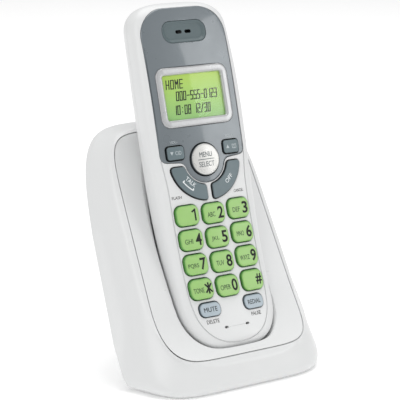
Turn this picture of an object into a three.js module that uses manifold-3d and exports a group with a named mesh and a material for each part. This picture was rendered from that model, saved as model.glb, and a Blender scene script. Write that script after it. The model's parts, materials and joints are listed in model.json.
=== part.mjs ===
import * as THREE from 'three';
import { LoftGeometry } from 'three/addons/geometries/LoftGeometry.js';
import { mergeVertices } from 'three/addons/utils/BufferGeometryUtils.js';
import Module from 'manifold-3d';

// Cordless phone standing in its charging base. Millimetres, +Z up, +X to the phone's right, +Y back.
// The handset's own frame has its origin at the centre of the menu key: x right, y (called u) up the
// handset, z (called w) out of its face.

const wasm = await Module();
wasm.setup();

// ---------- driving dimensions ----------
const GAP = 0.3; // between neighbouring pieces
const KEY_CENTRE_Z = 92.6; // menu key above the table
const CENTRE_Y = -4.32; // menu key from the middle of the whole object
const HANDSET_LEAN = THREE.MathUtils.degToRad(74.15); // from horizontal
const BASE_LEAN = THREE.MathUtils.degToRad(58);

const handset = {
  top: 70.3,
  bottom: -82.9,
  halfWidth: 25,
  widestAt: 20,
  depth: 25,
  partingDepth: 9,
  frontWall: 2.6,
  sideWall: 1.8,
  backWall: 3,
  endWall: 2,
};
const keyCap = {
  width: 11.1,
  height: 8.9,
  radius: 2.8,
  proud: 1.5,
  pitchX: 13,
  pitchU: 10.65,
  firstRow: -23.6,
  sideRaise: 0.5, // the outer columns sit this much higher
};
const volumeKey = { x: 14.1, u: 4.2, proud: 0.9 };
const lowerKey = { x: 11.1, u: -64.2, proud: 1 };
const wingKey = { x: 10.5, u: -8.5, proud: 1 };
const menuProud = 1.2;
const mic = { x: 5.3, u: -72.85, halfWidth: 0.8, halfHeight: 0.45 };
const KEY_FLANGE = 0.55; // lip round each key, under the shell
const KEY_FLANGE_DEPTH = 0.6;
const MEMBRANE_LEVEL = -5.6; // top of the membrane under the menu key
const MEMBRANE_THICKNESS = 0.6;
const BOARD_SLOPE = -0.04; // the board runs straighter than the curved face
const display = { u: 28.1, halfWidth: 14.7, halfHeight: 9.75, bezel: 3.3, radius: 3.4 };
const earpiece = { u: 56.5, halfWidth: 10.9, halfHeight: 4.8 };
const menuRadius = 7;
const wing = { inner: 10.9, outer: 17.7, top: -1.9, middle: 1.3 };
const door = { top: -12, bottom: -58, halfWidth: 14, travel: 8, thickness: 1 };
const battery = { radius: 5.2, length: 44, u: -35, w: -11.9 };
const handsetScrews = [[19.3, 48.5], [-19.3, 48.5], [12.6, -73.2], [-12.6, -73.2]];
const chargePad = { x: 5.5, w: -1.1, width: 3.4, depth: 2.8 };

const base = {
  bottom: 0.4,
  grooveTop: 101.95,
  grooveBottom: 14.35,
  grooveHalfWidth: 37.3, // at the table, narrowing upwards
  grooveTaper: 0.037,
  footSpread: 0.9, // how much the groove flares towards the table
  spreadStart: 45,
  bulge: 49.3,
  bulgeLevel: 17.6,
  shoulderDrop: 8.5,
  frameDepth: 15.8,
  coverThickness: 2,
  coverInset: 1.8, // keeps the cover's edge out of sight behind the shell
  bendStart: 39.1,
  bendDepth: 8.7,
};
const POCKET_CLEARANCE = 0.8;
const POCKET_WALL = 2;
const stand = { back: 42, backTop: 52, joinTop: 80, halfWidths: [33, 28, 19.5], stations: [-24, 16, 42] };
const foot = { radius: 4.2, height: 1.6, places: [[27, -27], [-27, -27], [13.5, 33], [-13.5, 33]] };
const baseScrews = [[36.4, 40], [-36.4, 40], [39.2, -20], [-39.2, -20]];
const baseBoss = { radius: 2.6, front: -10.4, pilotRadius: 1.2, pilotFront: -11.4 };
const board = { z: 7.2, thickness: 1.6, halfWidth: 15.5, front: 2, back: 36.5 };
const findKey = { y: 36, bandTop: 103.6, width: 12, depth: 5.6, rise: 1.1 };

// ---------- colours ----------
const colours = {
  shell: [0xeeeeec, 0.35, 0],
  panel: [0x7f868b, 0.45, 0.1],
  grille: [0x5f6b6c, 0.5, 0],
  bezel: [0xc6c3c0, 0.35, 0.6],
  window: [0xbfe08a, 0.1, 0],
  lcd: [0x8bbf58, 0.4, 0],
  guide: [0xe8efe4, 0.3, 0],
  dialKey: [0x9fd27a, 0.35, 0],
  silverKey: [0xd2d3d2, 0.3, 0.6],
  darkKey: [0x6a7679, 0.4, 0],
  paleKey: [0xb9c3ca, 0.4, 0],
  rubber: [0x8f9391, 0.8, 0],
  board: [0x2f6b3c, 0.5, 0],
  metal: [0xb8b2a0, 0.3, 1],
  steel: [0xa8a8aa, 0.35, 1],
  battery: [0x3a6ea5, 0.45, 0],
  black: [0x26272a, 0.5, 0],
  redLead: [0xb02a22, 0.5, 0],
};

function material(name) {
  const [color, roughness, metalness] = colours[name];
  return new THREE.MeshStandardMaterial({ color, roughness, metalness });
}

// ---------- solids ----------
function toSolid(geometry) {
  const bare = new THREE.BufferGeometry();
  bare.setAttribute('position', geometry.attributes.position);
  bare.setIndex(geometry.index);
  const merged = mergeVertices(bare, 1e-4);
  const vertProperties = new Float32Array(merged.attributes.position.array);
  const corners = Array.from(merged.index.array);
  const faces = [];
  for (let i = 0; i < corners.length; i += 3) {
    const [a, b, c] = corners.slice(i, i + 3);
    if (a !== b && b !== c && c !== a) faces.push(a, b, c);
  }
  return new wasm.Manifold(new wasm.Mesh({ numProp: 3, vertProperties, triVerts: new Uint32Array(faces) }));
}

function toGeometry(solid) {
  const mesh = solid.getMesh();
  const geometry = new THREE.BufferGeometry();
  geometry.setAttribute('position', new THREE.BufferAttribute(new Float32Array(mesh.vertProperties), 3));
  geometry.setIndex(new THREE.BufferAttribute(new Uint32Array(mesh.triVerts), 1));
  return geometry;
}

function join(first, ...others) {
  return others.reduce((sum, solid) => sum.add(solid), first);
}

function cut(first, ...others) {
  return others.reduce((rest, solid) => rest.subtract(solid), first);
}

function piece(parent, name, solid, look) {
  const mesh = new THREE.Mesh(toGeometry(solid), material(look));
  mesh.name = name;
  parent.add(mesh);
  return mesh;
}

function boxBetween(low, high) {
  const geometry = new THREE.BoxGeometry(high[0] - low[0], high[1] - low[1], high[2] - low[2]);
  geometry.translate((low[0] + high[0]) / 2, (low[1] + high[1]) / 2, (low[2] + high[2]) / 2);
  return toSolid(geometry);
}

// cylinder along z between two levels
function disc(x, y, radius, low, high, segments = 20) {
  const geometry = new THREE.CylinderGeometry(radius, radius, high - low, segments);
  geometry.rotateX(Math.PI / 2);
  geometry.translate(x, y, (low + high) / 2);
  return toSolid(geometry);
}

// body turned from [radius, level] points about z
function turned(profile, segments = 16) {
  const points = profile.map(([r, level]) => new THREE.Vector2(r, level));
  const geometry = new THREE.LatheGeometry(points, segments);
  geometry.rotateX(Math.PI / 2);
  return toSolid(geometry);
}

function prism(shape, low, high, curveSegments = 3) {
  const options = { depth: high - low, bevelEnabled: false, curveSegments };
  const geometry = new THREE.ExtrudeGeometry(shape, options);
  geometry.translate(0, 0, low);
  return toSolid(geometry);
}

function loft(sections) {
  return toSolid(new LoftGeometry(sections, { capStart: true, capEnd: true }));
}

// loft up the handset, whose sections are listed from +x over the face to -x and round the back
function loftHandset(sections) {
  return loft(sections.map((section) => section.slice().reverse()));
}

function roundedRectangle(x, y, halfWidth, halfHeight, radius) {
  const shape = new THREE.Shape();
  shape.absarc(x + halfWidth - radius, y + halfHeight - radius, radius, 0, Math.PI / 2);
  shape.absarc(x - halfWidth + radius, y + halfHeight - radius, radius, Math.PI / 2, Math.PI);
  shape.absarc(x - halfWidth + radius, y - halfHeight + radius, radius, Math.PI, Math.PI * 1.5);
  shape.absarc(x + halfWidth - radius, y - halfHeight + radius, radius, Math.PI * 1.5, Math.PI * 2);
  return shape;
}

function rounding(t, power) {
  return Math.pow(Math.max(0, 1 - Math.pow(THREE.MathUtils.clamp(t, 0, 1), power)), 1 / power);
}

// ---------- handset surfaces ----------
// level of the face along the middle line: the chin curves forward and the top leans back
function faceLevel(u) {
  const t = u / 62.4;
  return 1.234 * t * t - 3.658 * t * t * t;
}

function faceSlope(u) {
  return (faceLevel(u + 0.5) - faceLevel(u - 0.5));
}

const CROWN = 0.0025; // drop across the face, per mm squared

// the lower back is straight, so that the battery door can slide along it
function backLevel(u) {
  const rise = u < door.top ? (door.top - u) * 0.113 : faceLevel(Math.max(u, 0));
  return rise - handset.depth;
}

function handsetHalfWidth(u) {
  const away = u - handset.widestAt;
  const narrowing = away < 0 ? 1.8 * Math.pow(-away / 82, 1.5) : 1.2 * Math.pow(away / 36, 2);
  const end = away < 0 ? rounding((-62 - u) / 21.6, 2.4) : rounding((u - 56.3) / 14.4, 3);
  return (handset.halfWidth - narrowing) * end;
}

function endRounding(u, length, power) {
  const margin = 0.06 * length;
  const past = Math.max(u - (handset.top - length), handset.bottom + length - u) / (length + margin);
  return rounding(past, power);
}

const ACROSS = [-1, -0.985, -0.93, -0.8, -0.45, 0, 0.45, 0.8, 0.93, 0.985, 1];

// closed ring of points round the handset at u, shrunk by the given walls
function handsetRing(u, walls) {
  const { top, bottom } = handset;
  const reach = THREE.MathUtils.mapLinear(u, bottom + walls.end, top - walls.end, bottom, top);
  const halfWidth = handsetHalfWidth(reach) - walls.side;
  const parting = faceLevel(u) - handset.partingDepth;
  const front = (handset.partingDepth - walls.front) * endRounding(reach, 8, 2.4);
  const rear = (parting - backLevel(u) - walls.back) * endRounding(reach, 15, 2.2);
  const points = [];
  for (const t of ACROSS.slice().reverse()) {
    const x = halfWidth * t;
    const crown = CROWN * x * x * (1 - t * t);
    points.push(new THREE.Vector3(x, u, parting + front * rounding(Math.abs(t), 5) - crown));
  }
  const rearSteps = 14;
  for (let i = 1; i < rearSteps; i++) {
    const angle = Math.PI * (1 + i / rearSteps);
    points.push(new THREE.Vector3(halfWidth * Math.cos(angle), u, parting + rear * Math.sin(angle)));
  }
  return points;
}

const noWalls = { front: 0, side: 0, back: 0, end: 0 };

function handsetBody(walls, steps = 20) {
  const low = handset.bottom + walls.end;
  const high = handset.top - walls.end;
  const rings = [];
  for (let i = 0; i <= steps; i++) {
    const u = THREE.MathUtils.lerp(low, high, (1 - Math.cos(Math.PI * i / steps)) / 2);
    rings.push(handsetRing(u, walls));
  }
  return loftHandset(rings);
}

// slab that follows the face between two depths
function faceSlab(upper, lower, lowU = -80, highU = 72) {
  const rows = [];
  const steps = 14;
  for (let i = 0; i <= steps; i++) {
    const u = THREE.MathUtils.lerp(lowU, highU, i / steps);
    const xs = [26, 13, 0, -13, -26];
    const row = xs.map((x) => new THREE.Vector3(x, u, faceLevel(u) - CROWN * x * x + upper));
    row.push(...xs.reverse().map((x) => new THREE.Vector3(x, u, faceLevel(u) - CROWN * x * x + lower)));
    rows.push(row);
  }
  return loftHandset(rows);
}

function alongParting(lowOffset, highOffset) {
  const rows = [];
  const steps = 14;
  for (let i = 0; i <= steps; i++) {
    const u = THREE.MathUtils.lerp(-90, 78, i / steps);
    const level = faceLevel(u) - handset.partingDepth;
    rows.push([[30, highOffset], [-30, highOffset], [-30, lowOffset], [30, lowOffset]]
      .map(([x, offset]) => new THREE.Vector3(x, u, level + offset)));
  }
  return loftHandset(rows);
}

// ---------- handset outlines ----------
function panelOutline(grow) {
  const halfWidth = 21.2 + grow;
  const dip = 10 + grow;
  const edge = 0.2 - grow;
  const angle = Math.asin(-edge / dip) + 0.12;
  const shape = new THREE.Shape();
  shape.moveTo(-halfWidth, edge + 0.8);
  shape.lineTo(-dip - 2.2, edge - 0.6);
  shape.absarc(0, 0, dip, Math.PI + angle, Math.PI * 2 - angle);
  shape.lineTo(dip + 2.2, edge - 0.6);
  shape.lineTo(halfWidth, edge + 0.8);
  shape.lineTo(halfWidth, 54);
  shape.absarc(halfWidth - 13, 54.4 + grow, 13, 0, Math.PI / 2);
  shape.absarc(13 - halfWidth, 54.4 + grow, 13, Math.PI / 2, Math.PI);
  return shape;
}

function displayOutline(grow) {
  const radius = Math.max(0.6, display.radius - display.bezel + grow);
  return roundedRectangle(0, display.u, display.halfWidth + grow, display.halfHeight + grow, radius);
}

function earpieceOutline(grow) {
  return roundedRectangle(0, earpiece.u, earpiece.halfWidth + grow, earpiece.halfHeight + grow, 4.4 + grow);
}

// quarter wing under the menu key; side is -1 on the left and 1 on the right
function wingOutline(side, grow) {
  const inner = wing.inner - grow;
  const outer = wing.outer + grow;
  const top = wing.top + grow;
  const middle = wing.middle - grow;
  const innerTop = Math.asin(-top / inner);
  const outerTop = Math.asin(-top / outer);
  const innerEnd = Math.acos(middle / inner);
  const outerEnd = Math.acos(middle / outer);
  const shape = new THREE.Shape();
  const steps = 5;
  for (let i = 0; i <= steps; i++) {
    const angle = THREE.MathUtils.lerp(outerTop, outerEnd, i / steps);
    const x = side * outer * Math.cos(angle);
    const y = -outer * Math.sin(angle);
    if (i === 0) shape.moveTo(x, y);
    else shape.lineTo(x, y);
  }
  for (let i = steps; i >= 0; i--) {
    const angle = THREE.MathUtils.lerp(innerTop, innerEnd, i / steps);
    shape.lineTo(side * inner * Math.cos(angle), -inner * Math.sin(angle));
  }
  return shape;
}

function volumeOutline(grow) {
  return roundedRectangle(0, 0, 4.1 + grow, 2.9 + grow, 1.4 + grow);
}

function dialOutline(grow) {
  return roundedRectangle(0, 0, keyCap.width / 2 + grow, keyCap.height / 2 + grow, keyCap.radius + grow);
}

function smallKeyOutline(grow) {
  return roundedRectangle(0, 0, 5 + grow, 3 + grow, 2.6 + grow);
}

function roundOutline(grow) {
  const shape = new THREE.Shape();
  shape.absarc(0, 0, menuRadius + grow, 0, Math.PI * 2);
  return shape;
}

// ---------- keys ----------
// every key: node name, outline, place on the face, colour, how far it stands out
function keyList() {
  const keys = [];
  const names = [['1', '2', '3'], ['4', '5', '6'], ['7', '8', '9'], ['star', '0', 'hash']];
  names.forEach((row, rowIndex) => row.forEach((name, column) => keys.push({
    name: `key_${name}`,
    outline: dialOutline,
    x: (column - 1) * keyCap.pitchX,
    u: keyCap.firstRow - rowIndex * keyCap.pitchU + (column === 1 ? 0 : keyCap.sideRaise),
    look: 'dialKey',
    proud: keyCap.proud,
  })));
  for (const [side, hand] of [[-1, 'down'], [1, 'up']]) {
    const { x, u, proud } = volumeKey;
    keys.push({ name: `key_volume_${hand}`, outline: volumeOutline, x: x * side, u, look: 'darkKey', proud });
  }
  for (const [side, name] of [[-1, 'mute'], [1, 'redial']]) {
    const { x, u, proud } = lowerKey;
    keys.push({ name: `key_${name}`, outline: smallKeyOutline, x: x * side, u, look: 'paleKey', proud });
  }
  for (const [side, name] of [[-1, 'talk'], [1, 'off']]) {
    const x = wingKey.x * side;
    const { u, proud } = wingKey;
    const outline = (grow) => shifted(wingOutline(side, grow), -x, -u);
    keys.push({ name: `key_${name}`, outline, x, u, look: 'darkKey', proud });
  }
  keys.push({
    name: 'key_menu_select',
    outline: roundOutline,
    x: 0,
    u: 0,
    look: 'silverKey',
    proud: menuProud,
    segments: 6,
  });
  return keys;
}

function shifted(shape, dx, dy) {
  return new THREE.Shape(shape.getPoints(1).map((point) => new THREE.Vector2(point.x + dx, point.y + dy)));
}

// matrix that carries a piece made about z = 0 to the face at x, u
function ontoFace(x, u) {
  const normal = new THREE.Vector3(2 * CROWN * x, -faceSlope(u), 1).normalize();
  const turn = new THREE.Quaternion().setFromUnitVectors(new THREE.Vector3(0, 0, 1), normal);
  const place = new THREE.Vector3(x, u, faceLevel(u) - CROWN * x * x);
  return new THREE.Matrix4().compose(place, turn, new THREE.Vector3(1, 1, 1));
}

function onFace(solid, x, u) {
  return toSolid(toGeometry(solid).applyMatrix4(ontoFace(x, u)));
}

function keySolid(key) {
  const bevel = 0.5;
  const low = -handset.frontWall - GAP - KEY_FLANGE_DEPTH;
  const curveSegments = key.segments ?? 2;
  const cap = new THREE.ExtrudeGeometry(key.outline(0), {
    depth: key.proud - low - 2 * bevel,
    bevelThickness: bevel,
    bevelSize: bevel,
    bevelOffset: -bevel,
    bevelSegments: 1,
    curveSegments,
  });
  cap.translate(0, 0, low + bevel);
  const flange = prism(key.outline(KEY_FLANGE), low, low + KEY_FLANGE_DEPTH, curveSegments);
  const rest = MEMBRANE_LEVEL + BOARD_SLOPE * key.u + 0.9 - faceLevel(key.u) + CROWN * key.x * key.x;
  const plunger = disc(0, 0, 1.5, rest, low + 0.1, 8);
  return join(toSolid(cap), flange, plunger);
}

function keyHole(key) {
  return onFace(prism(key.outline(GAP), -4, 4, key.segments ?? 2), key.x, key.u);
}

// ---------- handset pieces ----------
function handsetShells() {
  const outer = handsetBody(noWalls);
  const cavity = handsetBody({
    front: handset.frontWall,
    side: handset.sideWall,
    back: handset.backWall,
    end: handset.endWall,
  }, 14);
  const shell = cut(outer, cavity);
  const front = shell.intersect(alongParting(GAP / 2, 30));
  const rear = shell.intersect(alongParting(-40, -GAP / 2));
  return { outer, front, rear };
}

function screwBoss(x, u) {
  const parting = faceLevel(u) - handset.partingDepth;
  const post = disc(x, u, 2.9, parting + GAP / 2, faceLevel(u) - 2.2, 12);
  return cut(post, disc(x, u, 1.3, parting - 1, faceLevel(u) - 3.4, 8));
}

function frontShell(front, keys) {
  const recess = faceSlab(6, -1.45, -14).intersect(prism(panelOutline(GAP), -20, 20, 6));
  const underKeys = boxBetween([-20, -80, -20], [20, 20, 20]);
  const keyBay = faceSlab(-handset.frontWall, -8, -69.5, 10.5).intersect(underKeys);
  const openings = [
    onFace(prism(displayOutline(1.8), -12, 6, 2), 0, 0),
    onFace(prism(displayOutline(3.1), -12, -2.9, 2), 0, 0),
    onFace(prism(roundedRectangle(0, 0, 9.2, 3.2, 3), -12, 6, 3), 0, earpiece.u),
  ];
  const micSlot = boxBetween([-mic.halfWidth, -mic.halfHeight, -6], [mic.halfWidth, mic.halfHeight, 6]);
  const microphone = [-1, 1].map((side) => onFace(micSlot, mic.x * side, mic.u));
  const bosses = handsetScrews.map(([x, u]) => screwBoss(x, u));
  return cut(join(front, ...bosses), recess, keyBay, ...openings, ...microphone, ...keys.map(keyHole));
}

function facePanel(outer, keys) {
  const sheet = faceSlab(-0.15, -1.15, -14).intersect(prism(panelOutline(0), -20, 20, 6));
  const holes = keys.filter((key) => /volume|menu/.test(key.name)).map(keyHole);
  const openings = [
    prism(displayOutline(display.bezel + GAP), -20, 20, 3),
    prism(earpieceOutline(GAP), -20, 20, 4),
  ];
  return cut(sheet.intersect(outer), ...openings, ...holes);
}

function displayPieces(group) {
  const ring = cut(prism(displayOutline(display.bezel), -20, 20, 3), prism(displayOutline(0), -20, 20, 3));
  piece(group, 'display_bezel', faceSlab(0.35, -1.15, 5, 50).intersect(ring), 'bezel');
  const sheet = faceSlab(-1.45, -2.45, 5, 50);
  piece(group, 'display_window', sheet.intersect(prism(displayOutline(1.5), -20, 20, 2)), 'window');
  piece(group, 'display_module', prism(displayOutline(2.8), -5.3, -3.6, 2), 'lcd');
  piece(group, 'display_light_guide', prism(displayOutline(1), -6.7, -5.6, 2), 'guide');
}

function earpiecePieces(group) {
  const slot = prism(roundedRectangle(0, earpiece.u, 3.9, 0.85, 0.8), -20, 20, 3);
  const dish = faceSlab(-0.35, -1.15, 40, 72).intersect(prism(earpieceOutline(0), -20, 20, 4));
  piece(group, 'earpiece_grille', cut(dish, slot), 'grille');
  const speaker = turned([[0, -7], [6, -7], [6, -6], [9.2, -5.4], [9.2, -4], [0, -4]]);
  piece(group, 'earpiece_speaker', onFace(speaker, 0, earpiece.u), 'black');
}

function handsetBoard(group) {
  const sheet = (top, thickness, low, high, halfWidth) => {
    const row = (u) => [[halfWidth, 0], [-halfWidth, 0], [-halfWidth, -thickness], [halfWidth, -thickness]]
      .map(([x, offset]) => new THREE.Vector3(x, u, top + BOARD_SLOPE * u + offset));
    return loftHandset([row(low), row(high)]);
  };
  const boardLevel = MEMBRANE_LEVEL - MEMBRANE_THICKNESS - GAP;
  piece(group, 'keypad_membrane', sheet(MEMBRANE_LEVEL, MEMBRANE_THICKNESS, -68, 10, 18.4), 'rubber');
  piece(group, 'handset_circuit_board', sheet(boardLevel, 1.2, -68, 44.5, 16), 'board');
  piece(group, 'ringer', disc(0, 14, 6, -12, -8.7), 'black');
  piece(group, 'microphone', onFace(disc(0, 0, 2.2, -5.4, -3.2, 12), mic.x, mic.u), 'black');
}

function batteryPieces(group) {
  const { radius, length } = battery;
  const cell = (side) => disc(radius * side * 0.96, 0, radius, -length / 2, length / 2, 16);
  const pack = toGeometry(join(cell(-1), cell(1)));
  pack.rotateX(-Math.PI / 2 - Math.atan(-BOARD_SLOPE));
  pack.translate(0, battery.u, battery.w);
  piece(group, 'battery_pack', toSolid(pack), 'battery');
  piece(group, 'battery_connector', boxBetween([-4, -8.6, -11.6], [4, -4, -7.9]), 'black');
  for (const [side, look] of [[-1, 'black'], [1, 'redLead']]) {
    const route = new THREE.CatmullRomCurve3([
      new THREE.Vector3(2 * side, -12.4, -13),
      new THREE.Vector3(2.2 * side, -10.8, -12.6),
      new THREE.Vector3(2 * side, -9.9, -10.8),
      new THREE.Vector3(2 * side, -8.95, -10.2),
    ]);
    const section = new THREE.Shape();
    section.absarc(0, 0, 0.6, 0, Math.PI * 2);
    const lead = new THREE.ExtrudeGeometry(section, { steps: 6, extrudePath: route, curveSegments: 4 });
    piece(group, `battery_lead_${side < 0 ? 'black' : 'red'}`, toSolid(lead), look);
  }
}

function doorBox(halfWidth, low, high) {
  return boxBetween([-halfWidth, low, -45], [halfWidth, high, -9]);
}

function rearPieces(group, outer, rear) {
  const recessFloor = handsetBody({ ...noWalls, back: door.thickness + 0.5 });
  const recessBox = doorBox(door.halfWidth + GAP, door.bottom - door.travel - GAP, door.top + GAP);
  const recess = cut(recessBox, recessFloor);
  const opening = doorBox(11.2, door.bottom + 0.4, door.top - 0.6);
  const screwHoles = handsetScrews.map(([x, u]) => {
    const head = disc(x, u, 2.6, -40, screwSeat(u), 12);
    return join(disc(x, u, 1.4, -40, -2, 8), head);
  });
  const padHoles = [-1, 1].map((side) => chargePadBox(side, GAP, -90, -79));
  piece(group, 'rear_shell', cut(rear, recess, opening, ...screwHoles, ...padHoles), 'shell');
  const plate = cut(outer, handsetBody({ ...noWalls, back: door.thickness }));
  piece(group, 'battery_door', plate.intersect(doorBox(door.halfWidth, door.bottom, door.top)), 'shell');
  handsetScrews.forEach(([x, u], index) => {
    const seat = screwSeat(u);
    const headProfile = [[0, seat - 1.5], [2.3, seat - 1.5], [2.3, seat - GAP]];
    const shankProfile = [[1, seat - GAP], [1, seat + 8], [0, seat + 8]];
    const screw = turned([...headProfile, ...shankProfile], 12);
    const geometry = toGeometry(screw).translate(x, u, 0);
    piece(group, `handset_screw_${index + 1}`, toSolid(geometry), 'steel');
  });
  for (const [side, hand] of [[-1, 'left'], [1, 'right']]) {
    const low = handset.bottom + 0.1;
    piece(group, `charge_pad_${hand}`, chargePadBox(side, 0, low, low + 2.6), 'metal');
  }
}

// level of the shoulder that a handset screw's head bears on
function screwSeat(u) {
  return faceLevel(u) - handset.partingDepth - 3;
}

function chargePadBox(side, grow, low, high) {
  const halfWidth = chargePad.width / 2 + grow;
  const halfDepth = chargePad.depth / 2 + grow;
  const { w } = chargePad;
  const x = chargePad.x * side;
  return boxBetween([x - halfWidth, low, w - halfDepth], [x + halfWidth, high, w + halfDepth]);
}

function buildHandset() {
  const group = new THREE.Group();
  const keys = keyList();
  const { outer, front, rear } = handsetShells();
  piece(group, 'front_shell', frontShell(front, keys), 'shell');
  piece(group, 'face_panel', facePanel(outer, keys), 'panel');
  displayPieces(group);
  earpiecePieces(group);
  for (const key of keys) {
    const mesh = piece(group, key.name, keySolid(key), key.look);
    mesh.applyMatrix4(ontoFace(key.x, key.u));
  }
  handsetBoard(group);
  batteryPieces(group);
  rearPieces(group, outer, rear);
  group.rotation.x = HANDSET_LEAN;
  group.position.z = KEY_CENTRE_Z;
  return group;
}

// ---------- base surfaces ----------
const slabReach = 1 / Math.sin(BASE_LEAN); // level distance through the slab per mm of thickness

function slabY(z) {
  return (z - 57.54) / Math.tan(BASE_LEAN);
}

function bend(z, bottom, pull) {
  const t = THREE.MathUtils.clamp((base.bendStart - z) / (base.bendStart - bottom), 0, 1.2);
  return pull * Math.pow(t, 2.9);
}

function frontY(z) {
  return slabY(z) - bend(z, base.grooveBottom, base.bendDepth);
}

function grooveHalfWidth(z) {
  const spread = THREE.MathUtils.clamp((base.spreadStart - z) / 30, 0, 1.3);
  return base.grooveHalfWidth - base.grooveTaper * z + base.footSpread * spread * spread;
}

function outerHalfWidth(z) {
  const rise = Math.max(0, z - base.bulgeLevel) / 69.2;
  return base.bulge - base.shoulderDrop * Math.pow(rise, 1.5);
}

// half-width of a rounded outline at height z, as a share of its full half-width
function cornerShare(z, ring) {
  const half = (ring.top - ring.bottom) / 2;
  const t = (z - ring.bottom - half) / half;
  return rounding(Math.abs(t), t < 0 ? ring.lowPower : ring.highPower);
}

// rings round the front opening, from the groove over the band to the rear edge and back inside:
// half-width and what is added to it, highest and lowest point, depth behind the front, how far the
// foot is pulled forward, and how square the lower and upper corners are
function ringOf(width, side, top, bottom, depth, pull, lowPower, highPower = 5) {
  return { width, side, top, bottom, depth, pull, lowPower, highPower };
}

const { grooveTop, grooveBottom, bendDepth, bottom: baseBottom, frameDepth } = base;
const frameRings = [
  ringOf(grooveHalfWidth, 0, grooveTop, grooveBottom, 0, bendDepth, 6.6, 7),
  ringOf(grooveHalfWidth, 3.1, 103.7, 10.5, 2.2, 11.2, 4.5),
  ringOf(grooveHalfWidth, 6.4, 103.3, baseBottom, 10.2, 13.9, 6.9),
  ringOf(outerHalfWidth, 0, 102, baseBottom, frameDepth, 0, 20),
  ringOf(outerHalfWidth, -2.4, 99.6, 3, frameDepth, 0, 20),
  ringOf(grooveHalfWidth, 4.1, 100.9, 3, 12, 11.6, 6.9),
  ringOf(grooveHalfWidth, 1.1, 100.7, 11.4, 5.4, 9.8, 4.8),
  ringOf(grooveHalfWidth, -2.8, 99.1, 17.2, 5.8, 5.7, 5.5, 6),
  ringOf(grooveHalfWidth, -2.8, 99.1, 17.2, 3.3, 5.7, 5.5, 6),
  ringOf(grooveHalfWidth, 0, grooveTop, grooveBottom, 3.3, bendDepth, 6.6, 7),
];
const [grooveRing, , , rearRing] = frameRings;

function frameRing(ring) {
  const points = [];
  const steps = 44;
  const half = (ring.top - ring.bottom) / 2;
  for (let i = 0; i < steps; i++) {
    const angle = Math.PI * 2 * (i + 0.5) / steps;
    const power = Math.sin(angle) < 0 ? ring.lowPower : ring.highPower;
    const across = Math.sign(Math.cos(angle)) * Math.pow(Math.abs(Math.cos(angle)), 2 / power);
    const up = Math.sign(Math.sin(angle)) * Math.pow(Math.abs(Math.sin(angle)), 2 / power);
    const z = ring.bottom + half * (1 + up);
    const y = slabY(z) + ring.depth * slabReach - bend(z, ring.bottom, ring.pull);
    points.push(new THREE.Vector3(across * (ring.width(z) + ring.side), y, z));
  }
  return points;
}

// sheet that fills an outline ring, built from level rows
function sheetInRing(ring, gap, yAt, thickness, steps = 18) {
  const rows = [];
  const half = (ring.top - ring.bottom) / 2 - gap;
  for (let i = 0; i <= steps; i++) {
    const angle = THREE.MathUtils.lerp(-0.47, 0.47, i / steps) * Math.PI;
    const z = (ring.top + ring.bottom) / 2 + half * Math.sin(angle);
    const inner = { ...ring, top: ring.top - gap, bottom: ring.bottom + gap };
    const x = (ring.width(z) + ring.side - gap) * cornerShare(z, inner);
    const y = yAt(z);
    const corners = [[-x, y], [x, y], [x, y + thickness], [-x, y + thickness]];
    rows.push(corners.map(([cornerX, cornerY]) => new THREE.Vector3(cornerX, cornerY, z)));
  }
  return loft(rows);
}

// space that the handset needs as it is lifted out, grown by a clearance
function pocketSolid(clearance) {
  const walls = { front: -clearance, side: -clearance, back: -clearance, end: -clearance };
  const rings = [];
  const steps = 18;
  for (let i = 0; i <= steps; i++) {
    const share = (1 - Math.cos(Math.PI * i / (steps + 6))) / 2;
    const u = THREE.MathUtils.lerp(handset.bottom - clearance, 45, share);
    const below = rings.at(-1);
    rings.push(handsetRing(u, walls).map((point, index) => {
      if (!below) return point;
      const { x, z } = below[index];
      const level = index < ACROSS.length ? Math.max(point.z, z) : Math.min(point.z, z);
      return new THREE.Vector3(Math.abs(point.x) > Math.abs(x) ? point.x : x, point.y, level);
    }));
  }
  return toHandsetPlace(loftHandset(rings));
}

// ---------- base pieces ----------
function footRecesses() {
  return foot.places.map(([x, y]) => disc(x, y, foot.radius + GAP, -1, foot.height + GAP, 16));
}

function bossAt([x, slabV], radius, front, back) {
  const geometry = new THREE.CylinderGeometry(radius, radius, front - back, 12);
  geometry.rotateX(Math.PI / 2);
  geometry.translate(x, slabV, (front + back) / 2);
  return fromSlab(geometry);
}

// slab frame: x, y up the slope, z out of the front
function fromSlab(geometry) {
  geometry.rotateX(BASE_LEAN);
  geometry.translate(0, slabY(46.74), 46.74);
  return toSolid(geometry);
}

function findKeySolid(grow, low, high) {
  const { y, width, depth } = findKey;
  const outline = roundedRectangle(0, y, width / 2 + grow, depth / 2 + grow, depth / 2 - 0.2 + grow);
  return prism(outline, low, high, 3);
}

// rings on a smooth curve through the given ones, not counting the last, and never below the rim
function smoothBand(rings, steps) {
  const between = [];
  for (let i = 0; i < rings.length - 1; i++) {
    for (let step = 0; step < steps; step++) {
      between.push(rings[i].map((point, index) => {
        const curve = new THREE.CatmullRomCurve3(rings.map((ring) => ring[index]), false, 'catmullrom', 0.5);
        const onCurve = curve.getPoint((i + step / steps) / (rings.length - 1));
        return onCurve.setZ(Math.max(onCurve.z, base.bottom));
      }));
    }
  }
  return between;
}

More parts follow.
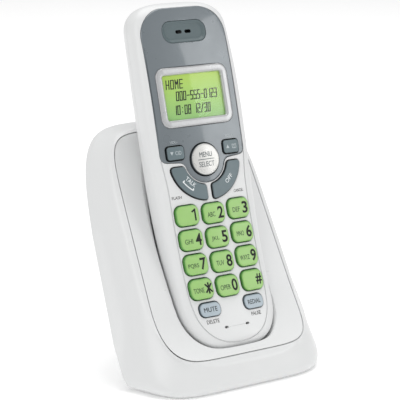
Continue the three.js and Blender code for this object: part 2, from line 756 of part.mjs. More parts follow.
function topShell() {
  const rings = frameRings.map(frameRing);
  const band = smoothBand(rings.slice(0, 4), 3);
  const sections = [...band, ...rings.slice(3)].reverse();
  const frame = toSolid(new LoftGeometry([...sections, sections[0]]));
  const { radius, front, pilotRadius, pilotFront } = baseBoss;
  const bosses = baseScrews.map((place) => bossAt(place, radius, front, -base.frameDepth));
  const pilots = baseScrews.map((place) => bossAt(place, pilotRadius, pilotFront, -base.frameDepth - 1));
  return cut(
    join(frame, ...bosses),
    ...pilots,
    pocketSolid(POCKET_CLEARANCE + POCKET_WALL + GAP),
    findKeySolid(GAP, findKey.bandTop - 12, findKey.bandTop + 5),
    ...footRecesses(),
  );
}

function cradleInsert() {
  const sheet = sheetInRing(grooveRing, 0.4, frontY, 2.4 * slabReach);
  const low = boxBetween([-30, -35, 4], [30, 40, 22]);
  const behind = join(
    sheetInRing({ ...grooveRing, side: -3.4, bottom: 15.4, top: 98.8 }, 0, frontY, 60),
    low.intersect(sheetInRing({ ...grooveRing, bottom: -4 }, 0, frontY, 90)),
  );
  const wall = pocketSolid(POCKET_CLEARANCE + POCKET_WALL).intersect(behind);
  const slots = [-1, 1].map((side) => toHandsetPlace(chargePadBox(side, -0.2, -95, -80)));
  return cut(join(sheet, wall), pocketSolid(POCKET_CLEARANCE), ...slots);
}

function toHandsetPlace(solid) {
  const geometry = toGeometry(solid);
  geometry.rotateX(HANDSET_LEAN);
  geometry.translate(0, 0, KEY_CENTRE_Z);
  return toSolid(geometry);
}

function chargeContact(side) {
  const x = chargePad.x * side;
  const blade = boxBetween([x - 1.2, -90.3, chargePad.w - 0.9], [x + 1.2, -83.3, chargePad.w + 0.9]);
  const shoulder = boxBetween([x - 1.9, -87.2, chargePad.w - 1.5], [x + 1.9, -86, chargePad.w + 1.5]);
  return toHandsetPlace(join(blade, shoulder));
}

function standBlock(inset, floor) {
  const side = new THREE.Shape();
  const back = stand.back - inset;
  side.moveTo(slabY(floor) - 4, floor);
  side.lineTo(back, floor);
  side.lineTo(back, stand.backTop - inset);
  side.lineTo(slabY(stand.joinTop) + 21.6 - inset, stand.joinTop - inset);
  side.lineTo(slabY(stand.joinTop) + 8, stand.joinTop - inset);
  const slice = new THREE.ExtrudeGeometry(side, { depth: 80, bevelEnabled: false });
  slice.rotateX(Math.PI / 2);
  slice.rotateZ(Math.PI / 2);
  slice.translate(-40, 0, 0);
  const plan = new THREE.Shape();
  const [near, middle, far] = stand.halfWidths.map((halfWidth) => halfWidth - inset);
  const [nearY, middleY, farY] = stand.stations;
  plan.moveTo(-near, nearY);
  plan.lineTo(near, nearY);
  plan.lineTo(middle, middleY);
  plan.absarc(far - 5, farY - 5 - inset, 5, 0.3, Math.PI / 2);
  plan.absarc(5 - far, farY - 5 - inset, 5, Math.PI / 2, Math.PI - 0.3);
  plan.lineTo(-middle, middleY);
  return toSolid(slice).intersect(prism(plan, 0, 110, 3));
}

function rearCover() {
  const { coverInset: inset } = base;
  const backY = (z) => slabY(z) + (base.frameDepth + GAP) * slabReach;
  const edge = { ...rearRing, side: -inset, top: rearRing.top - inset, bottom: rearRing.bottom + inset };
  const plate = sheetInRing(edge, 0, backY, base.coverThickness * slabReach);
  const frontLimit = sheetInRing({ ...rearRing, top: 112, bottom: -8 }, 0, backY, 120, 6);
  const outer = standBlock(0, base.bottom).intersect(frontLimit);
  const inner = standBlock(2.2, 3);
  const { line, power } = jacks();
  const jackHoles = [line, power].map(({ low, high }) => boxBetween(
    [low[0] - GAP, low[1], low[2] - GAP],
    [high[0] + GAP, high[1] + 10, high[2] + GAP],
  ));
  const screws = baseScrews.map((place) => bossAt(place, 1.5, -10, -30));
  return cut(join(plate, outer), inner, ...jackHoles, ...footRecesses(), ...screws);
}

function jacks() {
  const floor = board.z + board.thickness + GAP;
  return {
    power: { low: [-15.2, 28.5, floor], high: [-5.8, 41.6, floor + 10.4] },
    line: { low: [1.6, 27.5, floor], high: [15.2, 41.6, floor + 11.6] },
  };
}

function powerJack() {
  const { low, high } = jacks().power;
  const x = (low[0] + high[0]) / 2;
  const z = (low[2] + high[2]) / 2;
  const barrel = turned([[0.7, 0], [3, 0], [3, 12], [0.7, 12], [0.7, 0]], 14);
  const geometry = toGeometry(barrel);
  geometry.rotateX(-Math.PI / 2);
  geometry.translate(x, high[1] - 9.5, z);
  return cut(boxBetween(low, high), toSolid(geometry));
}

function lineJack() {
  const { low, high } = jacks().line;
  const x = (low[0] + high[0]) / 2;
  const socket = boxBetween([x - 4.9, high[1] - 10.5, low[2] + 2.2], [x + 4.9, high[1] + 1, low[2] + 8.8]);
  const latch = boxBetween([x - 1.7, high[1] - 10.5, low[2] + 8.7], [x + 1.7, high[1] + 1, low[2] + 10.4]);
  return cut(boxBetween(low, high), socket, latch);
}

function buildBase() {
  const group = new THREE.Group();
  piece(group, 'base_top_shell', topShell(), 'shell');
  piece(group, 'cradle_insert', cradleInsert(), 'shell');
  piece(group, 'base_rear_cover', rearCover(), 'shell');
  piece(group, 'charge_contact_left', chargeContact(-1), 'metal');
  piece(group, 'charge_contact_right', chargeContact(1), 'metal');
  const { bandTop, rise } = findKey;
  const flange = findKeySolid(1, bandTop - 5.9, bandTop - 4.9);
  piece(group, 'find_handset_key', join(findKeySolid(0, bandTop - 5.2, bandTop + rise), flange), 'darkKey');
  const circuit = boxBetween(
    [-board.halfWidth, board.front, board.z],
    [board.halfWidth, board.back, board.z + board.thickness],
  );
  piece(group, 'base_circuit_board', circuit, 'board');
  piece(group, 'power_jack', powerJack(), 'black');
  piece(group, 'line_jack', lineJack(), 'black');
  foot.places.forEach(([x, y], index) => {
    piece(group, `rubber_foot_${index + 1}`, disc(x, y, foot.radius, 0, foot.height, 16), 'rubber');
  });
  baseScrews.forEach((place, index) => {
    const head = bossAt(place, 2.4, -base.frameDepth - GAP * 2 - base.coverThickness, -base.frameDepth - 4);
    const shank = bossAt(place, 0.9, baseBoss.pilotFront - GAP, -base.frameDepth - 3);
    piece(group, `base_screw_${index + 1}`, join(head, shank), 'steel');
  });
  return group;
}

const phone = new THREE.Group();
phone.add(buildBase(), buildHandset());
phone.position.y = CENTRE_Y;

export default phone;
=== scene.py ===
"""Looks of the cordless phone and its charging base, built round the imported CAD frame.

Shapes are worked out in millimetres and put in place in metres. The handset has its own frame, with
its origin at the centre of the menu key: x right, u up the handset, w out of its face.
"""

import json
import math

import bmesh
import bpy
import numpy as np
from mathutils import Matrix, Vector


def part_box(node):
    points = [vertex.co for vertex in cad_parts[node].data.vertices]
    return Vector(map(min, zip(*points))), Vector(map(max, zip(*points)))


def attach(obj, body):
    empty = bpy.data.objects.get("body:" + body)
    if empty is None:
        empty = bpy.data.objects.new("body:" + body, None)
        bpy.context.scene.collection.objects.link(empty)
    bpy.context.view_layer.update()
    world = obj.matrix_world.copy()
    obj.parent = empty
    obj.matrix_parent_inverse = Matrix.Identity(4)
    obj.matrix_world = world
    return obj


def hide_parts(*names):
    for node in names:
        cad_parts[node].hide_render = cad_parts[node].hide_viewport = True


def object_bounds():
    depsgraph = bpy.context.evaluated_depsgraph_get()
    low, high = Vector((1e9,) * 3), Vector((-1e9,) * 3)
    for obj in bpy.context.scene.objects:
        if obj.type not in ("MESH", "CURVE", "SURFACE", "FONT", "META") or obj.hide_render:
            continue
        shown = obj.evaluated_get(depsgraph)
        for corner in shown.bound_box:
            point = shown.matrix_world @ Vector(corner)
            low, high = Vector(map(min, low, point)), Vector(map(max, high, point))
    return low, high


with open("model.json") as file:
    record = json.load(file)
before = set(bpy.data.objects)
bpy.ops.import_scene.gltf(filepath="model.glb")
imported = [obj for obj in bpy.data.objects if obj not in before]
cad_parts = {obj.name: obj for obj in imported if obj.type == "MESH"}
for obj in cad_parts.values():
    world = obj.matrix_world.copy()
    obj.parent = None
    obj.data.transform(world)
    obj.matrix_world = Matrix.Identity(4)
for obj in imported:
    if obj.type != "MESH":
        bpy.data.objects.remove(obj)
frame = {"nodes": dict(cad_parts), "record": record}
CAD_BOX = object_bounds()

# ---------- driving dimensions, in millimetres ----------
MM = 0.001
KEY_CENTRE_Z = 92.6
CENTRE_Y = -4.32
HANDSET_LEAN = math.radians(74.15)
BASE_LEAN = math.radians(58)

HANDSET_TOP = 70.3
HANDSET_BOTTOM = -82.9
HANDSET_HALF_WIDTH = 25.0
WIDEST_AT = 20.0
LOWER_TAPER = 1.8  # lost from each side over the length below it
LOWER_TAPER_LENGTH = 82
UPPER_TAPER = 1.2
UPPER_TAPER_LENGTH = 36
LOWER_END_START = -62
LOWER_END_LENGTH = 21.6
UPPER_END_START = 56.3
UPPER_END_LENGTH = 14.4
FRONT_END = (8, 2.4)  # length and power of the rounding over each end
REAR_END = (15, 2.2)
FRONT_POWER = 5
HANDSET_DEPTH = 25.0
PARTING_DEPTH = 9.0
FRONT_WALL = 2.6
SIDE_WALL = 1.8
BACK_WALL = 3.0
END_WALL = 2.0
HANDSET_WALLS = (FRONT_WALL, SIDE_WALL, BACK_WALL, END_WALL)
CROWN = 0.0025
CURVE_LENGTH = 62.4
CURVE_SQUARE = 1.234
CURVE_CUBE = -3.658
BACK_SLOPE = 0.113
SEAM = 0.05

KEY_WIDTH = 11.1
KEY_HEIGHT = 8.9
KEY_RADIUS = 2.9
KEY_PROUD = 1.5
PITCH_X = 13.0
PITCH_U = 10.65
FIRST_ROW = -23.6
KEY_GAP = 0.3
PANEL_KEY_GAP = 0.5
MENU_RADIUS = 7.0
VOLUME_KEY = (14.1, 4.2, 4.1, 2.9, 1.3)  # place, half-width, half-height and corner radius
LOWER_KEY = (11.1, -64.2, 5, 3, 2.4)
WING_INNER = 10.9
WING_OUTER = 17.7
WING_TOP = -1.9
WING_MIDDLE = 1.3
DISPLAY_U = 28.1
DISPLAY_HALF_WIDTH = 14.7
DISPLAY_HALF_HEIGHT = 9.75
BEZEL = 3.3
EARPIECE_U = 56.5
EARPIECE_HALF = (10.9, 4.8)
MIC_U = -72.85
MIC_X = 5.3
DOOR_TOP = -12.0
DOOR_BOTTOM = -58.0
DOOR_HALF_WIDTH = 14.0
DOOR_TRAVEL = 8.0
DOOR_THICKNESS = 1.0
HANDSET_SCREWS = [(19.3, 48.5), (-19.3, 48.5), (12.6, -73.2), (-12.6, -73.2)]
PAD_X = 5.5
PAD_W = -1.1

PLATE_HALF_WIDTH = 37.3
PLATE_TAPER = 0.037
PLATE_FLARE = 0.9
FLARE_START = 45
FLARE_LENGTH = 30
OUTER_HALF_WIDTH = 49.3
OUTER_TAPER = 8.5
OUTER_TAPER_START = 17.6
OUTER_TAPER_LENGTH = 69.2
SLAB_START_Z = 57.54  # where the front of the sloping slab passes y = 0
SLAB_MIDDLE_Z = 46.74
GROOVE_TOP = 101.95
GROOVE_BOTTOM = 14.35
BASE_TOP = 103.6
BASE_BOTTOM = 0.4
BASE_HALF_WIDTH = CAD_BOX[1].x / MM
BASE_FRONT = CAD_BOX[0].y / MM - CENTRE_Y
BASE_REAR = CAD_BOX[1].y / MM - CENTRE_Y
FRAME_DEPTH = 15.8
COVER_THICKNESS = 2.0
COVER_INSET = 1.8
COVER_TOP = 100.18  # keeps the back cover inside the CAD part's box
LOWER_CORNER_POWER = 6.6
UPPER_CORNER_POWER = 7
PLATE_POWERS = (LOWER_CORNER_POWER, UPPER_CORNER_POWER)
COVER_POWERS = (20, 5)
BEND_START = 39.1
BEND_DEPTH = 8.7
INSERT_GAP = 0.4
INSERT_THICKNESS = 2.4
POCKET_CLEARANCE = 0.8
POCKET_WALL = 2.0
LIP_WIDTH = 0.7
LIP_DEPTH = 1.3
POCKET_TOP = 45.0
FIND_KEY = (0.0, 36.0, 12.0, 5.6)
STAND_BACK = 42.0
STAND_BACK_TOP = 52.0
STAND_JOIN_TOP = 80.0
STAND_HALF_WIDTHS = (33.0, 28.0, 19.5)
STAND_STATIONS = (-24.0, 16.0, 42.0)
SOCKETS = [((-15.2, 28.5, 9.1), (-5.8, 41.6, 19.5)), ((1.6, 27.5, 9.1), (15.2, 41.6, 20.7))]
BASE_SCREWS = [(36.4, 40), (-36.4, 40), (39.2, -20), (-39.2, -20)]
FEET = [(27, -27), (-27, -27), (13.5, 33), (-13.5, 33)]
FOOT_RADIUS = 4.2

# ---------- camera and lights, in metres and watts ----------
CAMERA_PLACE = (-0.33197, -0.54689, 0.2390)
CAMERA_AHEAD = (0.5025, 0.8274, -0.2507)
SKY = 0.55
PAPER_GLOW = 0.15
DISPLAY_GLOW = 0.26
# name, place, what it points at, size and power
LIGHTS = [
    ("key_light", (-1.3, -0.6, 0.9), (0, 0, 0.08), (0.9, 0.9), 5.4),
    ("top_light", (0.2, 0.3, 1.6), (0, 0, 0.05), (1.4, 1.4), 15),
    ("strip_light", (0.78, -0.9, 0.5), (0, 0, 0.13), (0.36, 0.6), 2.3),
]


# ---------- meshes ----------
def mesh_object(name, points, faces):
    mesh = bpy.data.meshes.new(name)
    mesh.from_pydata([tuple(p) for p in points], [], faces)
    mesh.validate()
    made = bpy.data.objects.new(name, mesh)
    bpy.context.scene.collection.objects.link(made)
    face_outwards(made)
    return made


def face_outwards(made):
    work = bmesh.new()
    work.from_mesh(made.data)
    bmesh.ops.recalc_face_normals(work, faces=work.faces)
    work.to_mesh(made.data)
    work.free()


def loft(name, rings, closed=False):
    """Solid through rings of points. A closed loft joins its last ring to its first."""
    count = len(rings[0])
    points = np.concatenate(rings)
    faces = []
    last = len(rings) if closed else len(rings) - 1
    for i in range(last):
        a = i * count
        b = ((i + 1) % len(rings)) * count
        for j in range(count):
            k = (j + 1) % count
            faces.append((a + j, a + k, b + k, b + j))
    if not closed:
        faces.append(tuple(range(count)))
        faces.append(tuple(range(a + count, a + 2 * count)))
    return mesh_object(name, points, faces)


def prism(name, outline, low, high):
    """Solid of that outline between two levels."""
    return loft(name, [np.column_stack([outline, np.full(len(outline), level)]) for level in (low, high)])


def grid_solid(name, front, back):
    """Solid between two grids of points with the same rows and columns."""
    rows, columns, _ = front.shape
    points = np.concatenate([front.reshape(-1, 3), back.reshape(-1, 3)])
    other = rows * columns
    faces = []
    for i in range(rows - 1):
        for j in range(columns - 1):
            a = i * columns + j
            quad = (a, a + 1, a + columns + 1, a + columns)
            faces.append(quad)
            faces.append(tuple(other + k for k in reversed(quad)))
    edge = list(range(columns))
    edge += [i * columns + columns - 1 for i in range(1, rows)]
    edge += [(rows - 1) * columns + j for j in range(columns - 2, -1, -1)]
    edge += [i * columns for i in range(rows - 2, 0, -1)]
    for a, b in zip(edge, edge[1:] + edge[:1]):
        faces.append((a, b, other + b, other + a))
    return mesh_object(name, points, faces)


def boolean(target, tools, operation="DIFFERENCE"):
    """Cuts, joins or meets the target with each tool, and deletes the tools."""
    for tool in tools:
        step = target.modifiers.new("step", "BOOLEAN")
        step.solver = "MANIFOLD"
        step.operation = operation
        step.object = tool
    settle(target)
    for tool in tools:
        bpy.data.objects.remove(tool)
    return target


def settle(target):
    graph = bpy.context.evaluated_depsgraph_get()
    shape = bpy.data.meshes.new_from_object(target.evaluated_get(graph))
    target.modifiers.clear()
    target.data = shape


def box(low, high):
    corners = [(x, y, z) for x in (low[0], high[0]) for y in (low[1], high[1]) for z in (low[2], high[2])]
    faces = [(0, 1, 3, 2), (4, 6, 7, 5), (0, 4, 5, 1), (2, 3, 7, 6), (0, 2, 6, 4), (1, 5, 7, 3)]
    return mesh_object("box", corners, faces)


def to_places(points, x, y, z):
    points[:, 0] = x
    points[:, 1] = y
    points[:, 2] = z
    return points * MM


def rewrite(made, change):
    mesh = made.data
    flat = np.empty(len(mesh.vertices) * 3)
    mesh.vertices.foreach_get("co", flat)
    mesh.vertices.foreach_set("co", change(flat.reshape(-1, 3)).ravel())
    mesh.update()


def handset_to_row(p):
    """Handset frame in millimetres to the row frame in metres."""
    cos, sin = math.cos(HANDSET_LEAN), math.sin(HANDSET_LEAN)
    x, u, w = p[:, 0].copy(), p[:, 1].copy(), p[:, 2].copy()
    return to_places(p, x, CENTRE_Y + cos * u - sin * w, KEY_CENTRE_Z + sin * u + cos * w)


def handset_to_base(p):
    """Handset frame to the base's frame, both in millimetres."""
    return handset_to_row(p) / MM - np.array([0, CENTRE_Y, 0])


def base_to_row(p):
    return to_places(p, p[:, 0].copy(), p[:, 1] + CENTRE_Y, p[:, 2].copy())


def finish_piece(made, body, slot, material, change, nodes=(), sharp=28, keep_normals=False):
    rewrite(made, change)
    made.data.materials.clear()
    made.data.materials.append(material)
    made.data.shade_smooth()
    made.data.set_sharp_from_angle(angle=math.radians(sharp))
    if not keep_normals:
        weighted = made.modifiers.new("weighted", "WEIGHTED_NORMAL")
        weighted.keep_sharp = True
        weighted.weight = 60
    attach(made, body)
    if nodes:
        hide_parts(*nodes)
    return made


# ---------- handset surfaces ----------
def rounding(t, power):
    t = np.clip(t, 0, 1)
    return np.maximum(0, 1 - t**power) ** (1 / power)


def face_level(u):
    t = np.asarray(u, float) / CURVE_LENGTH
    return CURVE_SQUARE * t**2 + CURVE_CUBE * t**3


def back_level(u):
    rise = np.where(u < DOOR_TOP, (DOOR_TOP - u) * BACK_SLOPE, face_level(np.maximum(u, 0)))
    return rise - HANDSET_DEPTH


def tip(u):
    """Softens the last millimetre at each end of the handset."""
    left = np.minimum(HANDSET_TOP - u, u - HANDSET_BOTTOM) / 1.2
    e = 1 - np.clip(left, 0, 1)
    return 0.84 + 0.16 * np.sqrt(np.maximum(0, 1 - e * e))


def half_width(u):
    away = u - WIDEST_AT
    low = LOWER_TAPER * (np.maximum(-away, 0) / LOWER_TAPER_LENGTH) ** 1.5
    high = UPPER_TAPER * (np.maximum(away, 0) / UPPER_TAPER_LENGTH) ** 2
    end_low = rounding((LOWER_END_START - u) / LOWER_END_LENGTH, 2.4)
    end_high = rounding((u - UPPER_END_START) / UPPER_END_LENGTH, 3)
    return (HANDSET_HALF_WIDTH - low - high) * np.minimum(end_low, end_high)


def end_rounding(u, length, power):
    past = np.maximum(u - (HANDSET_TOP - length), HANDSET_BOTTOM + length - u) / (length * 1.06)
    return rounding(past, power)


def surface(x, u):
    """Level of the handset's front skin."""
    wide = half_width(u) * tip(u)
    t = np.clip(np.abs(x) / wide, 0, 1)
    front = PARTING_DEPTH * end_rounding(u, *FRONT_END) * tip(u)
    return face_level(u) - PARTING_DEPTH + front * rounding(t, FRONT_POWER) - CROWN * x**2 * (1 - t**2)


def across_shares():
    middle = list(np.linspace(0, 0.72, 13)[:-1])
    start = math.acos(0.72**2.5)
    corner = [math.cos(start * share**1.8) ** 0.4 for share in np.linspace(1, 0, 22)]
    half = middle + corner
    return np.array([-t for t in reversed(half[1:])] + half)


SHARES = across_shares()
REAR_STEPS = 56


def handset_ring(u, front_wall, side_wall, back_wall, end_wall):
    low, high = HANDSET_BOTTOM + end_wall, HANDSET_TOP - end_wall
    share = (u - low) / (high - low)
    reach = HANDSET_BOTTOM + share * (HANDSET_TOP - HANDSET_BOTTOM)
    soft = tip(reach)
    wide = half_width(reach) * soft - side_wall
    parting = face_level(u) - PARTING_DEPTH
    front = (PARTING_DEPTH - front_wall) * end_rounding(reach, *FRONT_END) * soft
    rear = (parting - back_level(u) - back_wall) * end_rounding(reach, *REAR_END) * soft
    x = wide * SHARES[::-1]
    level = parting + front * rounding(np.abs(SHARES[::-1]), FRONT_POWER) - CROWN * x**2 * (1 - SHARES**2)
    angle = math.pi * (1.5 - np.cos(math.pi * np.arange(1, REAR_STEPS) / REAR_STEPS) / 2)
    xs = np.concatenate([x, wide * np.cos(angle)])
    ws = np.concatenate([level, parting + rear * np.sin(angle)])
    return np.stack([xs, np.full(len(xs), u), ws], axis=1)


def handset_body(name, walls=(0, 0, 0, 0), steps=150):
    low, high = HANDSET_BOTTOM + walls[3], HANDSET_TOP - walls[3]
    turn = np.linspace(0, math.pi, steps + 1)
    return loft(name, [handset_ring(low + (high - low) * (1 - math.cos(a)) / 2, *walls) for a in turn])


def slab(name, low, high, xs, us, swell=None):
    """Solid that follows the face between two heights, with an extra swell on top."""
    x, u = np.meshgrid(xs, us)
    level = face_level(u) - CROWN * x**2
    top = level + high + (swell(x, u) if swell else 0)
    front = np.stack([x, u, top], axis=2)
    back = np.stack([x, u, level + low], axis=2)
    return grid_solid(name, front, back)


def along_parting(low, high):
    rings = []
    for u in np.linspace(-90, 78, 80):
        level = float(face_level(u)) - PARTING_DEPTH
        corners = [(32, high), (-32, high), (-32, low), (32, low)]
        rings.append(np.array([[x, u, level + height] for x, height in corners]))
    return loft("parting", rings)


# ---------- outlines ----------
def rounded_rectangle(x, y, half_wide, half_high, radius, grow=0.0, steps=9):
    a, b, r = half_wide + grow, half_high + grow, max(0.15, radius + grow)
    points = []
    for quarter, (sx, sy) in enumerate([(1, 1), (-1, 1), (-1, -1), (1, -1)]):
        for i in range(steps + 1):
            angle = math.pi / 2 * (quarter + i / steps)
            points.append((x + sx * (a - r) + r * math.cos(angle), y + sy * (b - r) + r * math.sin(angle)))
    return np.array(points)


def arc(x, y, radius, start, end, steps=24):
    angle = np.linspace(start, end, steps + 1)
    return np.stack([x + radius * np.cos(angle), y + radius * np.sin(angle)], axis=1)


def circle(x, y, radius, steps):
    return arc(x, y, radius, 0, 2 * math.pi, steps)[:-1]


def trimmed(line, start, end):
    """Polyline with that length taken off its two ends."""
    step = np.linalg.norm(np.diff(line, axis=0), axis=1)
    reach = np.concatenate([[0], np.cumsum(step)])
    stops = [start] + [s for s in reach if start < s < reach[-1] - end] + [reach[-1] - end]
    return np.stack([np.interp(stops, reach, line[:, k]) for k in (0, 1)], axis=1)


def rounded_path(lines, radii):
    """Closed outline of polylines, with a soft corner of that size after each."""
    points = []
    for i, line in enumerate(lines):
        before = radii[i - 1]
        after = radii[i]
        part = trimmed(line, before, after)
        following = trimmed(lines[(i + 1) % len(lines)], after, 0)
        points.extend(part[1:] if points else part)
        if after:
            a, b, c = part[-1], line[-1], following[0]
            for t in np.linspace(0, 1, 9)[1:]:
                points.append(a * (1 - t) ** 2 + 2 * b * t * (1 - t) + c * t * t)
    return np.array(points[:-1] if np.allclose(points[0], points[-1]) else points)


def moved_out(outline, distance):
    """Outline moved along its own normals, outwards for a counter-clockwise one."""
    ahead = np.roll(outline, -1, axis=0) - outline
    behind = outline - np.roll(outline, 1, axis=0)
    ahead /= np.maximum(np.linalg.norm(ahead, axis=1, keepdims=True), 1e-9)
    behind /= np.maximum(np.linalg.norm(behind, axis=1, keepdims=True), 1e-9)
    along = ahead + behind
    along /= np.linalg.norm(along, axis=1, keepdims=True)
    return outline + distance * np.stack([along[:, 1], -along[:, 0]], axis=1)


def counter_clockwise(outline):
    x, y = outline[:, 0], outline[:, 1]
    area = np.sum(x * np.roll(y, -1) - np.roll(x, -1) * y)
    return outline if area > 0 else outline[::-1]


def panel_outline():
    wide, dip, edge = 21.2, 10.0, 0.2
    shoulder, corner, top = 54.4, 13, 67.4
    angle = math.asin(-edge / dip) + 0.12
    line = lambda *points: np.array(points, float)
    left_end = (dip * math.cos(math.pi + angle), dip * math.sin(math.pi + angle))
    right_end = (-left_end[0], left_end[1])
    lines = [
        line((-wide, shoulder), (-wide, edge + 0.4)),
        line((-wide, edge + 0.4), (-dip - 1.6, edge - 0.5), left_end),
        arc(0, 0, dip, math.pi + angle, 2 * math.pi - angle, 40),
        line(right_end, (dip + 1.6, edge - 0.5), (wide, edge + 0.4)),
        line((wide, edge + 0.4), (wide, shoulder)),
        arc(wide - corner, shoulder, corner, 0, math.pi / 2, 20),
        line((wide - corner, top), (corner - wide, top)),
        arc(corner - wide, shoulder, corner, math.pi / 2, math.pi, 20),
    ]
    return counter_clockwise(rounded_path(lines, [3.2, 2.2, 2.2, 3.2, 0, 0, 0, 0]))


def wing_outline(side):
    outer_top, inner_top = math.asin(-WING_TOP / WING_OUTER), math.asin(-WING_TOP / WING_INNER)
    outer_end, inner_end = math.acos(WING_MIDDLE / WING_OUTER), math.acos(WING_MIDDLE / WING_INNER)
    outer = arc(0, 0, WING_OUTER, -outer_top, -outer_end, 30) * (side, 1)
    inner = arc(0, 0, WING_INNER, -inner_end, -inner_top, 24) * (side, 1)
    lines = [outer, np.array([outer[-1], inner[0]]), inner, np.array([inner[-1], outer[0]])]
    return counter_clockwise(rounded_path(lines, [1.6, 1.3, 1.6, 1.9]))


def display_outline(grow=0.0):
    return rounded_rectangle(0, DISPLAY_U, DISPLAY_HALF_WIDTH, DISPLAY_HALF_HEIGHT, 0.9, grow)


def earpiece_outline(grow=0.0):
    return rounded_rectangle(0, EARPIECE_U, *EARPIECE_HALF, 4.2, grow)


def key_table():
    """Every key: name, outline, how proud it stands, its slot and its edge radius."""
    keys = []
    names = [["1", "2", "3"], ["4", "5", "6"], ["7", "8", "9"], ["star", "0", "hash"]]
    for row, line in enumerate(names):
        for column, name in enumerate(line):
            x = (column - 1) * PITCH_X
            u = FIRST_ROW - row * PITCH_U + (0 if column == 1 else 0.5)
            shape = rounded_rectangle(x, u, KEY_WIDTH / 2, KEY_HEIGHT / 2, KEY_RADIUS)
            keys.append(("key_" + name, shape, KEY_PROUD, "green_key", 0.9))
    for side, hand in ((-1, "down"), (1, "up")):
        shape = rounded_rectangle(VOLUME_KEY[0] * side, *VOLUME_KEY[1:])
        keys.append(("key_volume_" + hand, shape, 0.9, "dark_key", 0.35))
    for side, name in ((-1, "mute"), (1, "redial")):
        shape = rounded_rectangle(LOWER_KEY[0] * side, *LOWER_KEY[1:])
        keys.append(("key_" + name, shape, 1.0, "pale_key", 0.6))
    for side, name in ((-1, "talk"), (1, "off")):
        keys.append(("key_" + name, wing_outline(side), 1.0, "dark_key", 0.4))
    keys.append(("key_menu_select", circle(0, 0, MENU_RADIUS, 72), 1.2, "silver_key", 0.7))
    return keys


# ---------- pieces that follow the face ----------
def ring_at(outline, grow, height, level=None):
    shape = moved_out(outline, grow)
    x, u = shape[:, 0], shape[:, 1]
    base_level = face_level(u) - CROWN * x**2 if level is None else level(x, u)
    return np.stack([x, u, base_level + height], axis=1)


def hole_tool(outline, gap, depth, rim=0.3, level=None):
    """Cutter for a hole in the face with a softened rim."""
    profile = [(gap, -depth)]
    for angle in np.linspace(0, math.pi / 2, 5):
        profile.append((gap + rim * (1 - math.cos(angle)), -rim * (1 - math.sin(angle)) + 0.02))
    profile.append((gap + rim + 0.02, 4))
    return loft("hole", [ring_at(outline, grow, height, level) for grow, height in profile])


def plate(name, outline, low, high, edge, swell=None, step=0.6):
    """Plate with that outline and a rounded top edge, following the face."""
    margin = 0.8
    x0, u0 = outline.min(axis=0) - margin
    x1, u1 = outline.max(axis=0) + margin
    xs = np.linspace(x0, x1, max(4, int((x1 - x0) / step)))
    us = np.linspace(u0, u1, max(4, int((u1 - u0) / step)))
    made = slab(name, low, high, xs, us, swell)
    profile = [(0, low - 2), (0, high - edge)]
    for angle in np.linspace(0, math.pi / 2, 7)[1:-1]:
        profile.append((-edge * (1 - math.cos(angle)), high - edge * (1 - math.sin(angle))))
    profile += [(-edge - 0.02, high + 0.03), (-edge - 0.04, high + 5)]
    cookie = loft("cookie", [ring_at(outline, grow, height) for grow, height in profile])
    return boolean(made, [cookie], "INTERSECT")


def swept_ring(name, outline, profile):
    """Closed band of that profile of (outwards, height) pairs round an outline."""
    return loft(name, [ring_at(outline, grow, height) for grow, height in profile], closed=True)


def smooth_curve(points, steps):
    """Points, or whole rings of them, on a Catmull-Rom curve through the given ones."""
    line = [2 * points[0] - points[1], *points, 2 * points[-1] - points[-2]]
    made = []
    for a, b, c, d in zip(line, line[1:], line[2:], line[3:]):
        square = 2 * a - 5 * b + 4 * c - d
        cube = 3 * b - a - 3 * c + d
        made += [0.5 * (2 * b + (c - a) * t + square * t**2 + cube * t**3) for t in np.arange(steps) / steps]
    return made + [points[-1]]


def groove_tool(path, width, depth):
    """Cutter for a line engraved in the front skin along a path of x, u points."""
    along = np.gradient(path, axis=0)
    along /= np.linalg.norm(along, axis=1, keepdims=True)
    aside = np.stack([-along[:, 1], along[:, 0]], axis=1)
    rings = []
    for point, normal in zip(path, aside):
        level = float(surface(np.array(point[0]), np.array(point[1])))
        section = [(-1.6, 1.2), (-0.5, 0), (-0.25, -0.8), (0.25, -0.8), (0.5, 0), (1.6, 1.2)]
        ring = [(*(point + normal * width * a), level + depth * b) for a, b in section]
        rings.append(np.array(ring))
    return loft("groove", rings)


SEAM_HALF = [
    (-21.0, 1.6), (-20.1, -6), (-19.6, -13), (-19.5, -30), (-19.4, -50), (-19.0, -61),
    (-17.2, -69.2), (-13.0, -75.4), (-6.8, -78.9), (0, -79.8),
]


def face_seam():
    other = [(-x, u) for x, u in reversed(SEAM_HALF[:-1])]
    line = smooth_curve(np.array(SEAM_HALF + other, float), 8)
    return groove_tool(np.array(line), 0.62, 0.7)


# ---------- materials ----------
def linear(code):
    """Linear colour from a hex code."""
    channels = [int(code[i : i + 2], 16) / 255 for i in (1, 3, 5)]
    return (*[c / 12.92 if c <= 0.04045 else ((c + 0.055) / 1.055) ** 2.4 for c in channels], 1)


